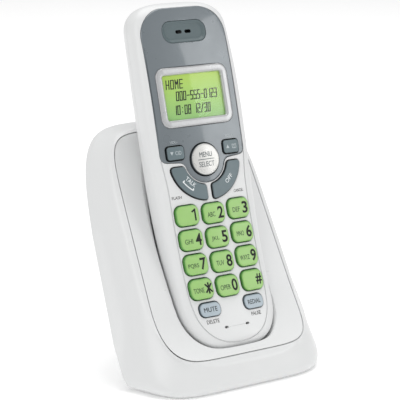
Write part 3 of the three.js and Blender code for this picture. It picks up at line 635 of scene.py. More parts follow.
class Nodes:
    """Small helper that adds and links shader nodes."""

    def __init__(self, name):
        self.material = bpy.data.materials.new(name)
        self.material.use_nodes = True
        self.tree = self.material.node_tree
        self.shader = self.tree.nodes["Principled BSDF"]

    def add(self, kind, **values):
        node = self.tree.nodes.new("ShaderNode" + kind)
        for key, value in values.items():
            if key in node.inputs:
                node.inputs[key].default_value = value
            else:
                setattr(node, key, value)
        return node

    def link(self, output, target):
        self.tree.links.new(output, target)

    def place(self):
        return self.add("TexCoord").outputs["Object"]

    def noise(self, scale, detail=2.0, source=None):
        node = self.add("TexNoise", Scale=scale, Detail=detail)
        self.link(source or self.place(), node.inputs["Vector"])
        return node.outputs["Fac"]

    def ramp(self, factor, stops):
        node = self.add("ValToRGB")
        elements = node.color_ramp.elements
        while len(elements) < len(stops):
            elements.new(0.5)
        for element, (position, colour) in zip(elements, stops):
            element.position = position
            element.color = colour
        self.link(factor, node.inputs["Fac"])
        return node.outputs["Color"]

    def spread(self, factor, low, high, to_low=0.0, to_high=1.0):
        limits = zip(("From Min", "From Max", "To Min", "To Max"), (low, high, to_low, to_high))
        node = self.add("MapRange", **dict(limits))
        self.link(factor, node.inputs["Value"])
        return node.outputs["Result"]

    def bumped(self, height, strength, distance):
        node = self.add("Bump", Strength=strength, Distance=distance)
        self.link(height, node.inputs["Height"])
        return node.outputs["Normal"]

    def bump(self, height, strength, distance):
        self.link(self.bumped(height, strength, distance), self.shader.inputs["Normal"])

    def colour(self, output):
        self.link(output, self.shader.inputs["Base Color"])

    def uneven_gloss(self, factor, low, high):
        self.link(self.spread(factor, 0.3, 0.7, low, high), self.shader.inputs["Roughness"])

    def set(self, **values):
        for key, value in values.items():
            self.shader.inputs[key.replace("_", " ")].default_value = value
        return self


def shade(colour, factor):
    return (*[min(1, c * factor) for c in colour[:3]], 1)


def moulded(name, code, roughness, grain=2200, strength=0.12, mottle=0.02, **extra):
    """Moulded plastic: fine spark-eroded grain, faint cloudiness and uneven gloss."""
    made = Nodes(name)
    colour = linear(code)
    stops = [(0.3, shade(colour, 1 - mottle)), (0.7, shade(colour, 1 + mottle))]
    made.colour(made.ramp(made.noise(38, 3), stops))
    made.uneven_gloss(made.noise(160, 4), roughness - 0.04, roughness + 0.05)
    made.bump(made.noise(grain, 2), strength, 0.00004)
    made.set(**extra)
    return made.material


def brushed_metal(name, code, roughness, stretch):
    """Plated metal with fine drawn lines."""
    made = Nodes(name)
    colour = linear(code)
    mapping = made.add("Mapping", Scale=stretch)
    made.link(made.place(), mapping.inputs["Vector"])
    lines = made.noise(400, 4, mapping.outputs["Vector"])
    made.colour(made.ramp(lines, [(0.3, shade(colour, 0.9)), (0.7, shade(colour, 1.08))]))
    made.uneven_gloss(lines, roughness - 0.06, roughness + 0.08)
    made.bump(lines, 0.15, 0.00003)
    made.set(Metallic=1.0)
    return made.material


def silver_paint(name, code, roughness):
    """Metallic silver paint: tiny flakes in a satin lacquer."""
    made = Nodes(name)
    colour = linear(code)
    flakes = made.noise(3000, 2)
    made.colour(made.ramp(flakes, [(0.35, shade(colour, 0.92)), (0.65, shade(colour, 1.06))]))
    made.uneven_gloss(made.noise(120, 3), roughness - 0.03, roughness + 0.06)
    made.bump(flakes, 0.1, 0.00003)
    made.set(Metallic=0.35, Coat_Weight=0.25, Coat_Roughness=0.2)
    return made.material


def key_plastic_with_painted_shade(name, top, side, roughness, glow=0.0, **extra):
    """Key plastic: its own colour on top, and a painted shade colour on its walls, where the gap round the
    key shades them.
    """
    made = Nodes(name)
    normal = made.add("TexCoord").outputs["Normal"]
    facing = made.add("VectorMath", operation="DOT_PRODUCT")
    made.link(normal, facing.inputs[0])
    facing.inputs[1].default_value = (0, -math.sin(HANDSET_LEAN), math.cos(HANDSET_LEAN))
    # painted shade: the side colour darkens every surface that turns away from the handset's face
    walls = made.ramp(facing.outputs["Value"], [(0.5, linear(side)), (0.96, linear(top))])
    cloud = made.noise(120, 3)
    mixed = made.add("Mix", data_type="RGBA", blend_type="MULTIPLY")
    mixed.inputs[0].default_value = 1.0
    made.link(walls, mixed.inputs[6])
    made.link(made.ramp(cloud, [(0.3, (0.95, 0.96, 0.94, 1)), (0.7, (1, 1, 1, 1))]), mixed.inputs[7])
    made.colour(mixed.outputs[2])
    made.uneven_gloss(made.noise(300, 3), roughness - 0.05, roughness + 0.07)
    made.bump(made.noise(1800, 2), 0.1, 0.00004)
    if glow:
        made.set(Subsurface_Weight=glow, Subsurface_Scale=0.0015)
        made.shader.inputs["Subsurface Radius"].default_value = (0.6, 1.0, 0.4)
    made.set(**extra)
    return made.material


def display_green():
    """Backlit display: yellower at the top and bluer green at the bottom."""
    made = Nodes("display_green")
    low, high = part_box("display_module")
    split = made.add("SeparateXYZ")
    made.link(made.place(), split.inputs["Vector"])
    height = made.spread(split.outputs["Z"], low.z, high.z)
    colours = [(0.0, linear("#7fb06e")), (0.5, linear("#93ba62")), (1.0, linear("#a6c44a"))]
    made.colour(made.ramp(height, colours))
    made.link(made.ramp(height, colours), made.shader.inputs["Emission Color"])
    made.uneven_gloss(made.noise(500, 2), 0.4, 0.5)
    made.bump(made.noise(1500, 2), 0.05, 0.00002)
    made.set(Emission_Strength=DISPLAY_GLOW)
    return made.material


def clear_window():
    """Thin clear pane: see-through, with a gloss that grows towards grazing angles."""
    made = Nodes("display_lens")
    tree = made.tree
    clear = made.add("BsdfTransparent")
    gloss = made.add("BsdfGlossy", Roughness=0.05)
    facing = made.add("LayerWeight").outputs["Facing"]
    grazing = made.add("Math", operation="POWER")
    made.link(facing, grazing.inputs[0])
    grazing.inputs[1].default_value = 4.0
    amount = made.spread(grazing.outputs["Value"], 0, 1, 0.014, 0.6)
    made.link(made.bumped(made.noise(900, 2), 0.02, 0.00002), gloss.inputs["Normal"])
    mix = made.add("MixShader")
    made.link(amount, mix.inputs["Fac"])
    made.link(clear.outputs["BSDF"], mix.inputs[1])
    made.link(gloss.outputs["BSDF"], mix.inputs[2])
    tree.links.new(mix.outputs["Shader"], tree.nodes["Material Output"].inputs["Surface"])
    tree.nodes.remove(made.shader)
    return made.material


def circuit_board():
    """Green solder mask in two shades, with copper lines between its blocks."""
    made = Nodes("circuit")
    mask, paler_mask, copper = linear("#1f5a33"), linear("#2b6b3f"), linear("#8d8046")
    cells = made.add("TexBrick", Scale=260, Color1=mask, Color2=paler_mask, Mortar=copper)
    cells.inputs["Mortar Size"].default_value = 0.03
    made.link(made.place(), cells.inputs["Vector"])
    made.colour(cells.outputs["Color"])
    made.uneven_gloss(made.noise(500, 3), 0.35, 0.5)
    made.bump(cells.outputs["Fac"], 0.3, 0.00005)
    return made.material


def printed_wrap():
    """Shrink-wrapped battery: glossy film with fine creases."""
    made = Nodes("battery_wrap")
    creases = made.noise(220, 5)
    made.colour(made.ramp(creases, [(0.35, linear("#2f5f9b")), (0.65, linear("#3a6fb0"))]))
    made.uneven_gloss(creases, 0.22, 0.4)
    made.bump(creases, 0.25, 0.0001)
    return made.material


# name, colour, roughness and how cloudy the colour is
PLASTICS = [
    ("dark_grille", "#59676a", 0.42, 0.03), ("light_guide", "#e8efe4", 0.3, 0.01),
    ("black_plastic", "#26282b", 0.45, 0.05), ("red_wire", "#b02a22", 0.4, 0.05),
    ("ink_black", "#0b0e0c", 0.6, 0.05), ("ink_green", "#35522f", 0.5, 0.05),
    ("ink_slate", "#3c4a50", 0.5, 0.05), ("ink_white", "#e9edee", 0.45, 0.02),
    ("ink_light", "#b9c2c4", 0.45, 0.03),
]


def make_materials():
    plastics = {name: moulded(name, code, rough, mottle=mottle) for name, code, rough, mottle in PLASTICS}
    return plastics | {
        "white_shell": moulded("white_shell", "#dedfdf", 0.34, strength=0.08, mottle=0.008),
        "grey_panel": moulded(
            "grey_panel", "#6f777c", 0.3, strength=0.06, mottle=0.02, Metallic=0.15,
            Coat_Weight=0.7, Coat_Roughness=0.06,
        ),
        "silver_trim": silver_paint("silver_trim", "#b9babb", 0.3),
        "display_lens": clear_window(),
        "display_green": display_green(),
        # the second colour of each key is painted shade for its walls, not a second plastic
        "green_key": key_plastic_with_painted_shade("green_key", "#9fc97a", "#4d8a3a", 0.35, 0.25),
        "silver_key": key_plastic_with_painted_shade("silver_key", "#d3d2d0", "#4a5054", 0.28, Metallic=0.3),
        "dark_key": key_plastic_with_painted_shade("dark_key", "#66757a", "#20272a", 0.36),
        "pale_key": key_plastic_with_painted_shade("pale_key", "#afbbc4", "#525e66", 0.36),
        "rubber": moulded("rubber", "#8b8f8e", 0.75, grain=1200, strength=0.35, mottle=0.05),
        "circuit": circuit_board(),
        "contact_metal": brushed_metal("contact_metal", "#c9bf9f", 0.28, (1, 1, 8)),
        "steel": brushed_metal("steel", "#b4b4b6", 0.32, (1, 6, 1)),
        "battery_wrap": printed_wrap(),
    }


MATERIALS = make_materials()
# start of a node's name, and how far its edges are softened
SOFTENED = [
    ("find_handset_key", 0.4), ("rubber_foot", 0.4), ("power_jack", 0.3), ("line_jack", 0.3),
    ("battery_connector", 0.3), ("base_screw", 0.25), ("handset_screw", 0.25), ("charge_pad", 0.25),
    ("charge_contact", 0.2),
]


def refinish_cad_nodes():
    """Gives every CAD node its detailed material, and softens the edges of those that are named."""
    slots = {entry["node"]: entry["material_slot"] for entry in frame["record"]["subparts"]}
    for name, node in frame["nodes"].items():
        for place in node.material_slots:
            place.material = MATERIALS[slots[name]]
        for start, width in SOFTENED:
            if name.startswith(start):
                soften(node, width)


def soften(node, width):
    soft = node.modifiers.new("soft", "BEVEL")
    soft.width = width * MM
    soft.segments = 3
    soft.limit_method = "ANGLE"
    soft.angle_limit = math.radians(35)
    soft.harden_normals = True


# ---------- handset ----------
def to_handset(made, slot, nodes, body="handset", **options):
    return finish_piece(made, body, slot, MATERIALS[slot], handset_to_row, nodes, **options)


def face_openings(keys):
    """Cutters for everything that opens the front skin."""
    panel = panel_outline()
    recess = slab("recess", -1.45, 7, np.linspace(-26, 26, 40), np.linspace(-14, 72, 100))
    tools = [boolean(recess, [prism("panel", moved_out(panel, 0.16), -20, 20)], "INTERSECT")]
    for name, outline, _, _, _ in keys:
        if "volume" not in name and "menu" not in name:
            tools.append(hole_tool(outline, KEY_GAP, 5.5, 0.28))
        else:
            tools.append(hole_tool(outline, PANEL_KEY_GAP + 0.3, 5.5, 0.05))
    tools.append(hole_tool(display_outline(), 0.9, 8, 0.05))
    tools.append(hole_tool(rounded_rectangle(0, EARPIECE_U, 9.2, 3.2, 3), 0, 8, 0.05))
    for side in (-1, 1):
        slot = rounded_rectangle(MIC_X * side, MIC_U, 0.95, 0.5, 0.45, steps=5)
        tools.append(hole_tool(slot, 0, 5, 0.06, surface))
    return tools


def front_skin(keys):
    made = handset_body("handset_front_cover")
    cavity = handset_body("cavity", HANDSET_WALLS, 60)
    boolean(made, [cavity])
    boolean(made, [along_parting(SEAM, 30)], "INTERSECT")
    boolean(made, face_openings(keys))
    line = groove_tool(np.linspace((-MIC_X + 0.7, MIC_U), (MIC_X - 0.7, MIC_U), 12), 0.2, 0.2)
    boolean(made, [face_seam(), line])
    return to_handset(made, "white_shell", ["front_shell"])


def panel_piece(keys):
    made = plate("handset_face_panel", panel_outline(), -1.15, -0.1, 0.5, step=0.9)
    tools = [hole_tool(display_outline(), BEZEL + 0.14, 3, 0.18), hole_tool(earpiece_outline(), 0.1, 3, 0.3)]
    for name, outline, _, _, _ in keys:
        if "volume" in name or "menu" in name:
            tools.append(hole_tool(outline, PANEL_KEY_GAP, 3, 0.22))
    boolean(made, tools)
    return to_handset(made, "grey_panel", ["face_panel"])


def bezel_piece():
    profile = [(BEZEL, -1.1), (BEZEL, -0.12), (BEZEL - 0.12, 0.16), (BEZEL - 0.4, 0.32), (BEZEL - 0.9, 0.35)]
    profile += [(1.1, 0.33), (0.65, 0.24), (0.3, 0.02), (0.08, -0.35), (0, -0.9), (0, -1.1)]
    made = swept_ring("display_bezel_trim", display_outline(), profile)
    return to_handset(made, "silver_trim", ["display_bezel"], sharp=50)


def display_glass():
    made = plate("display_window_pane", display_outline(-0.06), -1.2, -0.6, 0.08, step=1.5)
    return to_handset(made, "display_lens", ["display_window"])


def display_panel():
    made = plate("display_panel", display_outline(0.8), -4.4, -1.5, 0.1, step=1.5)
    return to_handset(made, "display_green", ["display_module"])


def earpiece_dish():
    """Dished sound outlet: a rolled rim, a sloping wall, a flat floor and a bridged slot."""
    outline = earpiece_outline()
    profile = [(0, -1.3), (0, -0.35), (-0.12, -0.2), (-0.35, -0.16), (-0.6, -0.22), (-1.25, -0.85)]
    profile += [(-1.7, -1.02), (-2.2, -1.06)]
    made = loft("earpiece_dish", [ring_at(outline, grow, height) for grow, height in profile])
    slots = []
    for side in (-1, 1):
        slot = rounded_rectangle(2.3 * side, EARPIECE_U, 1.6, 0.8, 0.7, steps=6)
        rings = [np.column_stack([slot, face_level(slot[:, 1]) + h]) for h in (-5, 3)]
        slots.append(loft("slot", rings))
    boolean(made, slots)
    return to_handset(made, "dark_grille", ["earpiece_grille"], sharp=35)


def cap_swell(name, outline, slot):
    """How much a key's top swells in its middle."""
    centre = outline.mean(axis=0)
    reach = np.abs(outline - centre).max(axis=0)
    domed = 0.26 if "menu" in name else 0.08 if slot == "green_key" else 0.05

    def swell(x, u):
        away = ((x - centre[0]) / reach[0]) ** 2 + ((u - centre[1]) / reach[1]) ** 2
        return domed * np.maximum(0, 1 - away)

    return swell


def key_piece(name, outline, proud, slot, edge):
    swell = cap_swell(name, outline, slot)
    made = plate(name + "_cap", outline, -3.2, proud - 0.12, edge, swell, step=0.45)
    return to_handset(made, slot, [name], body=name, sharp=40)


def rear_skin():
    made = handset_body("handset_rear_cover")
    cavity = handset_body("cavity", HANDSET_WALLS, 60)
    boolean(made, [cavity])
    boolean(made, [along_parting(-45, -SEAM)], "INTERSECT")
    floor = handset_body("floor", (0, 0, DOOR_THICKNESS + 0.5, 0))
    recess = box(
        (-DOOR_HALF_WIDTH - 0.2, DOOR_BOTTOM - DOOR_TRAVEL - 0.2, -45),
        (DOOR_HALF_WIDTH + 0.2, DOOR_TOP + 0.2, -9),
    )
    boolean(recess, [floor])
    opening = box((-11.2, DOOR_BOTTOM + 0.4, -45), (11.2, DOOR_TOP - 0.6, -9))
    tools = [recess, opening]
    for x, u in HANDSET_SCREWS:
        tools.append(tube(x, u, 2.7, -40, screw_seat(u)))
        tools.append(tube(x, u, 1.4, -40, -2))
    for side in (-1, 1):
        tools.append(pad_box(side, 0.2, -90, -79))
    boolean(made, tools)
    return to_handset(made, "white_shell", ["rear_shell"])


def screw_seat(u):
    return float(face_level(u)) - PARTING_DEPTH - 3


def tube(x, u, radius, low, high, steps=32):
    return prism("tube", circle(x, u, radius, steps), low, high)


def pad_box(side, grow, low, high):
    x = PAD_X * side
    return box((x - 1.7 - grow, low, PAD_W - 1.4 - grow), (x + 1.7 + grow, high, PAD_W + 1.4 + grow))


def door_piece():
    """Battery door, cut from the back skin, with a ribbed thumb patch."""
    made = handset_body("battery_door_cover")
    boolean(made, [handset_body("inside", (0, 0, DOOR_THICKNESS, 0))])
    reach = box((-DOOR_HALF_WIDTH, DOOR_BOTTOM, -45), (DOOR_HALF_WIDTH, DOOR_TOP, -9))
    boolean(made, [reach], "INTERSECT")
    ribs = []
    for i in range(5):
        u = DOOR_TOP - 6 - 1.8 * i
        half = 7 - 0.35 * (i - 2) ** 2
        level = float(back_level(np.array(u)))
        ribs.append(box((-half, u - 0.35, level - 2), (half, u + 0.35, level + 0.35 + 0.004 * half**2)))
    boolean(made, ribs)
    return to_handset(made, "white_shell", ["battery_door"], body="battery_door")


# ---------- legends ----------
INK = 0.05  # how far printing stands above its surface
INK_ROOT = 0.2  # and how far it reaches below


def panel_level(x, u):
    return face_level(u) - CROWN * x**2 - 0.1


def lcd_level(x, u):
    return face_level(u) - CROWN * x**2 - 1.5


def print_on(name, points, faces, ink, body, level, place=(0, 0), turn=0.0):
    """Thin raised print: flat points whose height is 1 on top and 0 underneath, laid on a surface."""
    points = np.array(points, float)
    cos, sin = math.cos(math.radians(turn)), math.sin(math.radians(turn))
    x = place[0] + cos * points[:, 0] - sin * points[:, 1]
    u = place[1] + sin * points[:, 0] + cos * points[:, 1]
    w = level(x, u) + np.where(points[:, 2] > 0.5, INK, -INK_ROOT)
    made = mesh_object("legend_" + name, np.stack([x, u, w], axis=1), faces)
    slot = "black_plastic" if ink in ("ink_black", "ink_green", "ink_slate") else "white_shell"
    return finish_piece(made, body, slot, MATERIALS[ink], handset_to_row, keep_normals=True)


def letters(text, size, bold):
    """Points and faces of a word in the built-in typeface, fitted to a width and height."""
    data = bpy.data.curves.new("text", "FONT")
    data.body = text
    data.extrude = 0.5
    data.offset = bold
    data.resolution_u = 4
    source = bpy.data.objects.new("text", data)
    bpy.context.scene.collection.objects.link(source)
    graph = bpy.context.evaluated_depsgraph_get()
    mesh = bpy.data.meshes.new_from_object(source.evaluated_get(graph))
    points = np.array([tuple(v.co) for v in mesh.vertices])
    faces = [tuple(face.vertices) for face in mesh.polygons]
    bpy.data.objects.remove(source)
    low, high = points.min(axis=0), points.max(axis=0)
    points = (points - (low + high) / 2) / (high - low)
    points[:, :2] *= size
    points[:, 2] += 0.5
    return points, faces


def word(name, text, place, size, ink, body, level, turn=0.0, bold=0.0):
    points, faces = letters(text, size, bold)
    return print_on(name, points, faces, ink, body, level, place, turn)


def strokes(paths, half):
    """Points and faces of straight strokes of that half-width along each path."""
    points, faces = [], []
    for path in paths:
        for a, b in zip(path, path[1:]):
            a, b = np.array(a, float), np.array(b, float)
            length = np.linalg.norm(b - a)
            along = (b - a) / length * half if length else np.array([half, 0])
            aside = np.array([-along[1], along[0]])
            corners = [a - along + aside, a - along - aside, b + along - aside, b + along + aside]
            first = len(points)
            points += [(*corner, height) for height in (1, 0) for corner in corners]
            faces += [tuple(first + k for k in face) for face in STROKE_FACES]
    return points, faces


STROKE_FACES = [(0, 1, 2, 3), (7, 6, 5, 4), (0, 4, 5, 1), (1, 5, 6, 2), (2, 6, 7, 3), (3, 7, 4, 0)]
# strokes of each display character, as corners on a grid two wide and four high
LCD_STROKES = {
    "0": ["00 20 24 04 00"], "1": ["20 24"], "2": ["04 24 22 02 00 20"], "3": ["04 24 20 00", "02 22"],
    "5": ["24 04 02 22 20 00"], "8": ["00 20 24 04 00", "02 22"], "-": ["02 22"], "/": ["00 24"],
    ":": ["11 11", "13 13"], "H": ["00 04", "20 24", "02 22"], "O": ["00 20 24 04 00"],
    "M": ["00 04 12 24 20"], "E": ["20 00 04 24", "02 22"],
}
# each text, where it starts and ends across the display, and how far down it is
LCD_LINES = [
    ("HOME", 0.06, 0.36, 0.11), ("000-555-0123", 0.2, 0.92, 0.38), ("10:08", 0.13, 0.43, 0.69),
    ("12/30", 0.47, 0.77, 0.69),
]
LCD_HEIGHT = 3.7
LCD_CELL = 0.3  # width of a grid square, as a share of the pitch of the characters
LCD_SLANT = 0.1
LCD_STROKE = 0.22


def display_text():
    """Dark display segments for three lines of characters."""
    for line, (text, start, end, down) in enumerate(LCD_LINES):
        left = DISPLAY_HALF_WIDTH * (2 * start - 1)
        pitch = DISPLAY_HALF_WIDTH * 2 * (end - start) / len(text)
        low = DISPLAY_U + DISPLAY_HALF_HEIGHT * (1 - 2 * down) - LCD_HEIGHT
        paths = []
        for index, character in enumerate(text):
            for stroke in LCD_STROKES.get(character, []):
                x = left + index * pitch
                corners = [(int(a), int(b)) for a, b in stroke.split()]
                across = pitch * LCD_CELL
                paths.append([(x + across * a + LCD_SLANT * b, low + LCD_HEIGHT / 4 * b) for a, b in corners])
        ink = strokes(paths, LCD_STROKE)
        print_on(f"display_{line + 1}", *ink, "ink_black", "handset", lcd_level)


KEY_LETTERS = {
    "2": "ABC", "3": "DEF", "4": "GHI", "5": "JKL", "6": "MNO", "7": "PQRS", "8": "TUV", "9": "WXYZ",
    "star": "TONE", "0": "OPER",
}
DRAWN_SIGNS = {
    "star": [[(0, -2.1), (0, 2.1)], [(-1.3, -1.6), (1.3, 1.6)], [(-1.3, 1.6), (1.3, -1.6)]],
    "1": [[(-0.9, 1.5), (0.3, 2.2), (0.3, -2.2)]],
}
KEY_WORDS = [
    ("key_mute", "MUTE", (0, 0), (6.4, 2.0), "ink_black"),
    ("key_redial", "REDIAL", (0, 0), (6.6, 1.9), "ink_black"),
    ("key_menu_select", "MENU", (0, 2.1), (6.2, 2.2), "ink_slate"),
    ("key_menu_select", "SELECT", (0, -2.1), (7.6, 2.2), "ink_slate"),
    ("key_volume_down", "CID", (1.2, 0), (2.9, 1.7), "ink_light"),
]
FACE_WORDS = [
    ("FLASH", (-16.3, -14.9), (4.6, 1.3), "ink_black", False),
    ("CANCEL", (15.0, -15.4), (5.0, 1.3), "ink_black", False),
    ("DELETE", (-11.0, -69.4), (6.0, 1.6), "ink_black", False),
    ("PAUSE", (11.0, -69.4), (5.0, 1.6), "ink_black", False),
    ("VOL-", (-14.0, 9.0), (3.6, 1.2), "ink_light", True),
    ("VOL+", (14.0, 9.0), (3.6, 1.2), "ink_light", True),
]


def key_legends(keys):
    caps = {}
    for name, outline, proud, slot, _ in keys:
        swell = cap_swell(name, outline, slot)
        level = lambda x, u, swell=swell, proud=proud: (
            face_level(u) - CROWN * x**2 + proud - 0.12 + swell(x, u)
        )
        caps[name] = (outline.mean(axis=0), level)
        short = name.removeprefix("key_")
        if slot == "green_key":
            x, u = caps[name][0]
            if short in DRAWN_SIGNS:
                drawn = strokes(DRAWN_SIGNS[short], 0.36)
                print_on(short + "_sign", *drawn, "ink_black", name, level, (x + 3.1, u))
            else:
                sign, size = ("#", (3.2, 4.6)) if short == "hash" else (short, (2.9, 5.2))
                word(short + "_sign", sign, (x + 3.0, u), size, "ink_black", name, level, bold=0.022)
            if short in KEY_LETTERS:
                text = KEY_LETTERS[short]
                size = (1.26 * len(text), 2.1)
                word(short + "_letters", text, (x - 1.7, u - 0.5), size, "ink_green", name, level)
    for name, text, (dx, du), size, ink in KEY_WORDS:
        (x, u), level = caps[name]
        word(text.lower(), text, (x + dx, u + du), size, ink, name, level)
    rule = strokes([[(x, 0) for x in np.linspace(-3.9, 3.9, 9)]], 0.13)
    print_on("menu_rule", *rule, "ink_slate", "key_menu_select", caps["key_menu_select"][1])
    wing_words(caps)
    arrow_legends(caps)


def wing_words(caps):
    """White words on the two curved keys, and the curved bar with its two ends under TALK."""
    for name, text, place, width, turn in (
        ("key_talk", "TALK", (-9.0, -8.9), 5.6, -45.0),
        ("key_off", "OFF", (10.3, -9.6), 4.6, 43.0),
    ):
        word(text.lower(), text, place, (width, 1.8), "ink_white", name, caps[name][1], turn)
    bar = arc(0, 0, 15.2, math.radians(214), math.radians(236), 12)
    ends = [[bar[k], bar[k] * 0.96] for k in (0, -1)]
    points, faces = strokes([bar, *ends], 0.26)
    print_on("talk_bar", points, faces, "ink_white", "key_talk", caps["key_talk"][1])


def arrow_legends(caps):
    """Arrows on the volume keys, and a small open book on the right one."""
    for name, sign in (("key_volume_down", -1), ("key_volume_up", 1)):
        (x, u), level = caps[name]
        corners = [(-0.8, -0.7 * sign), (0.8, -0.7 * sign), (0, 0.8 * sign)]
        points = [(*corner, height) for height in (1, 0) for corner in corners]
        faces = [(0, 1, 2), (5, 4, 3), (0, 3, 4, 1), (1, 4, 5, 2), (2, 5, 3, 0)]
        print_on(name + "_arrow", points, faces, "ink_light", name, level, (x - 1.9, u))
    (x, u), level = caps["key_volume_up"]
    cover = [(-1, -0.8), (-1, 0.8), (0, 0.6), (1, 0.8), (1, -0.8), (0, -1), (-1, -0.8)]
    book = strokes([cover, [(0, -1), (0, 0.6)]], 0.12)
    print_on("book", *book, "ink_light", "key_volume_up", level, (x + 1.5, u))


def face_legends():
    for text, place, size, ink, on_panel in FACE_WORDS:
        name = text.lower().replace("+", "_up").replace("-", "_down")
        word(name, text, place, size, ink, "handset", panel_level if on_panel else surface)


# ---------- base ----------
def to_base(made, node):
    return finish_piece(made, "base", "white_shell", MATERIALS["white_shell"], base_to_row, [node])


def slab_y(z):
    return (z - SLAB_START_Z) / math.tan(BASE_LEAN)


def bend(z, bottom, pull):
    t = np.clip((BEND_START - z) / (BEND_START - bottom), 0, 1.2)
    return pull * t**2.9


def front_y(z):
    return slab_y(z) - bend(z, GROOVE_BOTTOM, BEND_DEPTH)


def back_y(z):
    return slab_y(z) + (FRAME_DEPTH + 0.2) / math.sin(BASE_LEAN)


def groove_half_width(z):
    spread = np.clip((FLARE_START - z) / FLARE_LENGTH, 0, 1.3)
    return PLATE_HALF_WIDTH - PLATE_TAPER * z + PLATE_FLARE * spread**2


def outer_half_width(z):
    past = np.maximum(0, z - OUTER_TAPER_START) / OUTER_TAPER_LENGTH
    return OUTER_HALF_WIDTH - OUTER_TAPER * past**1.5


# half-width and what is added to it, top, bottom, depth behind the front, pull of the foot, and how
# square the lower and upper corners are
OUTSIDE = [
    (groove_half_width, 0, GROOVE_TOP, GROOVE_BOTTOM, 0, BEND_DEPTH, *PLATE_POWERS),
    (groove_half_width, 3.1, 103.7, 10.5, 2.2, 11.2, 4.5, 5),
    (groove_half_width, 6.4, 103.3, BASE_BOTTOM, 10.2, 13.9, 6.9, 5),
    (outer_half_width, 0, 102, BASE_BOTTOM, FRAME_DEPTH, 0, *COVER_POWERS),
]
INSIDE = [
    (outer_half_width, -2.4, 99.6, 3, FRAME_DEPTH, 0, *COVER_POWERS),
    (groove_half_width, 4.1, 100.9, 3, 12, 11.6, 6.9, 5),
    (groove_half_width, 1.1, 100.7, 11.4, 5.4, 9.8, 4.8, 5),
    (groove_half_width, -2.8, 99.1, 17.2, 5.8, 5.7, 5.5, 6),
    (groove_half_width, -2.8, 99.1, 17.2, 3.3, 5.7, 5.5, 6),
    (groove_half_width, 0, GROOVE_TOP, GROOVE_BOTTOM, 3.3, BEND_DEPTH, *PLATE_POWERS),
]
RING_STEPS = 260


def frame_ring(entry):
    width, side, top, bottom, depth, pull, low_power, high_power = entry
    angle = 2 * math.pi * (np.arange(RING_STEPS) + 0.5) / RING_STEPS
    power = np.where(np.sin(angle) < 0, low_power, high_power)
    across = np.sign(np.cos(angle)) * np.abs(np.cos(angle)) ** (2 / power)
    up = np.sign(np.sin(angle)) * np.abs(np.sin(angle)) ** (2 / power)
    z = bottom + (top - bottom) / 2 * (1 + up)
    y = slab_y(z) + depth / math.sin(BASE_LEAN) - bend(z, bottom, pull)
    return np.stack([across * (width(z) + side), y, z], axis=1)


def smooth_band(rings, steps=9):
    """Rings on a smooth curve through the given ones, kept inside the CAD part's box."""
    made = smooth_curve(rings, steps)
    for ring in made:
        ring[:, 0] = np.clip(ring[:, 0], -BASE_HALF_WIDTH, BASE_HALF_WIDTH)
        ring[:, 1] = np.clip(ring[:, 1], BASE_FRONT, BASE_REAR)
        ring[:, 2] = np.maximum(ring[:, 2], BASE_BOTTOM)
    return made


def pocket_points(clearance, steps):
    """Rings round the space that the handset needs as it is lifted out, in the base's frame."""
    rings = []
    walls = (-clearance, -clearance, -clearance, -clearance)
    start = HANDSET_BOTTOM - clearance
    for i in range(steps + 1):
        u = start + (POCKET_TOP - start) * (1 - math.cos(math.pi * i / (steps * 1.33))) / 2
        ring = handset_ring(u, *walls)
        if rings:
            below = rings[-1]
            front = np.arange(len(ring)) < len(SHARES)
            higher = np.maximum(ring[:, 2], below[:, 2])
            lower = np.minimum(ring[:, 2], below[:, 2])
            ring[:, 2] = np.where(front, higher, lower)
            ring[:, 0] = np.where(np.abs(ring[:, 0]) > np.abs(below[:, 0]), ring[:, 0], below[:, 0])
        rings.append(ring)
    flat = handset_to_base(np.concatenate(rings))
    return flat.reshape(steps + 1, -1, 3)


def smoothed(rings, rounds=14):
    """Rings with their small steps averaged out along each ring."""
    for _ in range(rounds):
        rings = (np.roll(rings, 1, axis=1) + 2 * rings + np.roll(rings, -1, axis=1)) / 4
    return rings


def pocket(name, clearance, lip=0.0):
    """Well for the handset, which can open out in a rolled lip where it meets the front."""
    steps = 220 if lip else 90
    rings = smoothed(pocket_points(clearance, steps))
    if lip:
        wide = smoothed(pocket_points(clearance + lip, steps))
        depth = (rings[..., 1] - front_y(rings[..., 2])) * math.sin(BASE_LEAN)
        share = np.clip(1 - depth / LIP_DEPTH, 0, 1.3) ** 2
        rings = rings + (wide - rings) * share[..., None]
    return loft(name, list(rings))


def corner_share(z, top, bottom, powers):
    half = (top - bottom) / 2
    t = (z - bottom - half) / half
    return np.where(t < 0, rounding(np.abs(t), powers[0]), rounding(np.abs(t), powers[1]))


def sheet_in_ring(name, width, side, top, bottom, powers, y_at, thickness, rows=140, columns=60):
    """Sheet that fills an outline of the frame, in level rows."""
    turn = np.linspace(-0.492, 0.492, rows) * math.pi
    z = (top + bottom) / 2 + (top - bottom) / 2 * np.sin(turn)
    half = (width(z) + side) * corner_share(z, top, bottom, powers)
    share = np.linspace(-1, 1, columns)
    x = half[:, None] * share[None, :]
    y = np.repeat(y_at(z)[:, None], columns, axis=1)
    zs = np.repeat(z[:, None], columns, axis=1)
    front = np.stack([x, y, zs], axis=2)
    back = np.stack([x, y + thickness, zs], axis=2)
    return grid_solid(name, front, back)


def foot_recesses():
    return [prism("foot", circle(x, y, FOOT_RADIUS + 0.25, 40), -1, 1.9) for x, y in FEET]


def find_key_hole():
    x, y, wide, deep = FIND_KEY
    outline = rounded_rectangle(x, y, wide / 2, deep / 2, deep / 2 - 0.3, 0.25)
    return prism("hole", outline, BASE_TOP - 14, BASE_TOP + 5)


def base_frame():
    outside = smooth_band([frame_ring(entry) for entry in OUTSIDE])
    inside = [frame_ring(entry) for entry in INSIDE]
    made = loft("base_frame_cover", outside + inside, closed=True)
    well = pocket("pocket", POCKET_CLEARANCE + POCKET_WALL + 0.3)
    boolean(made, [well, find_key_hole(), *foot_recesses()])
    return to_base(made, "base_top_shell")


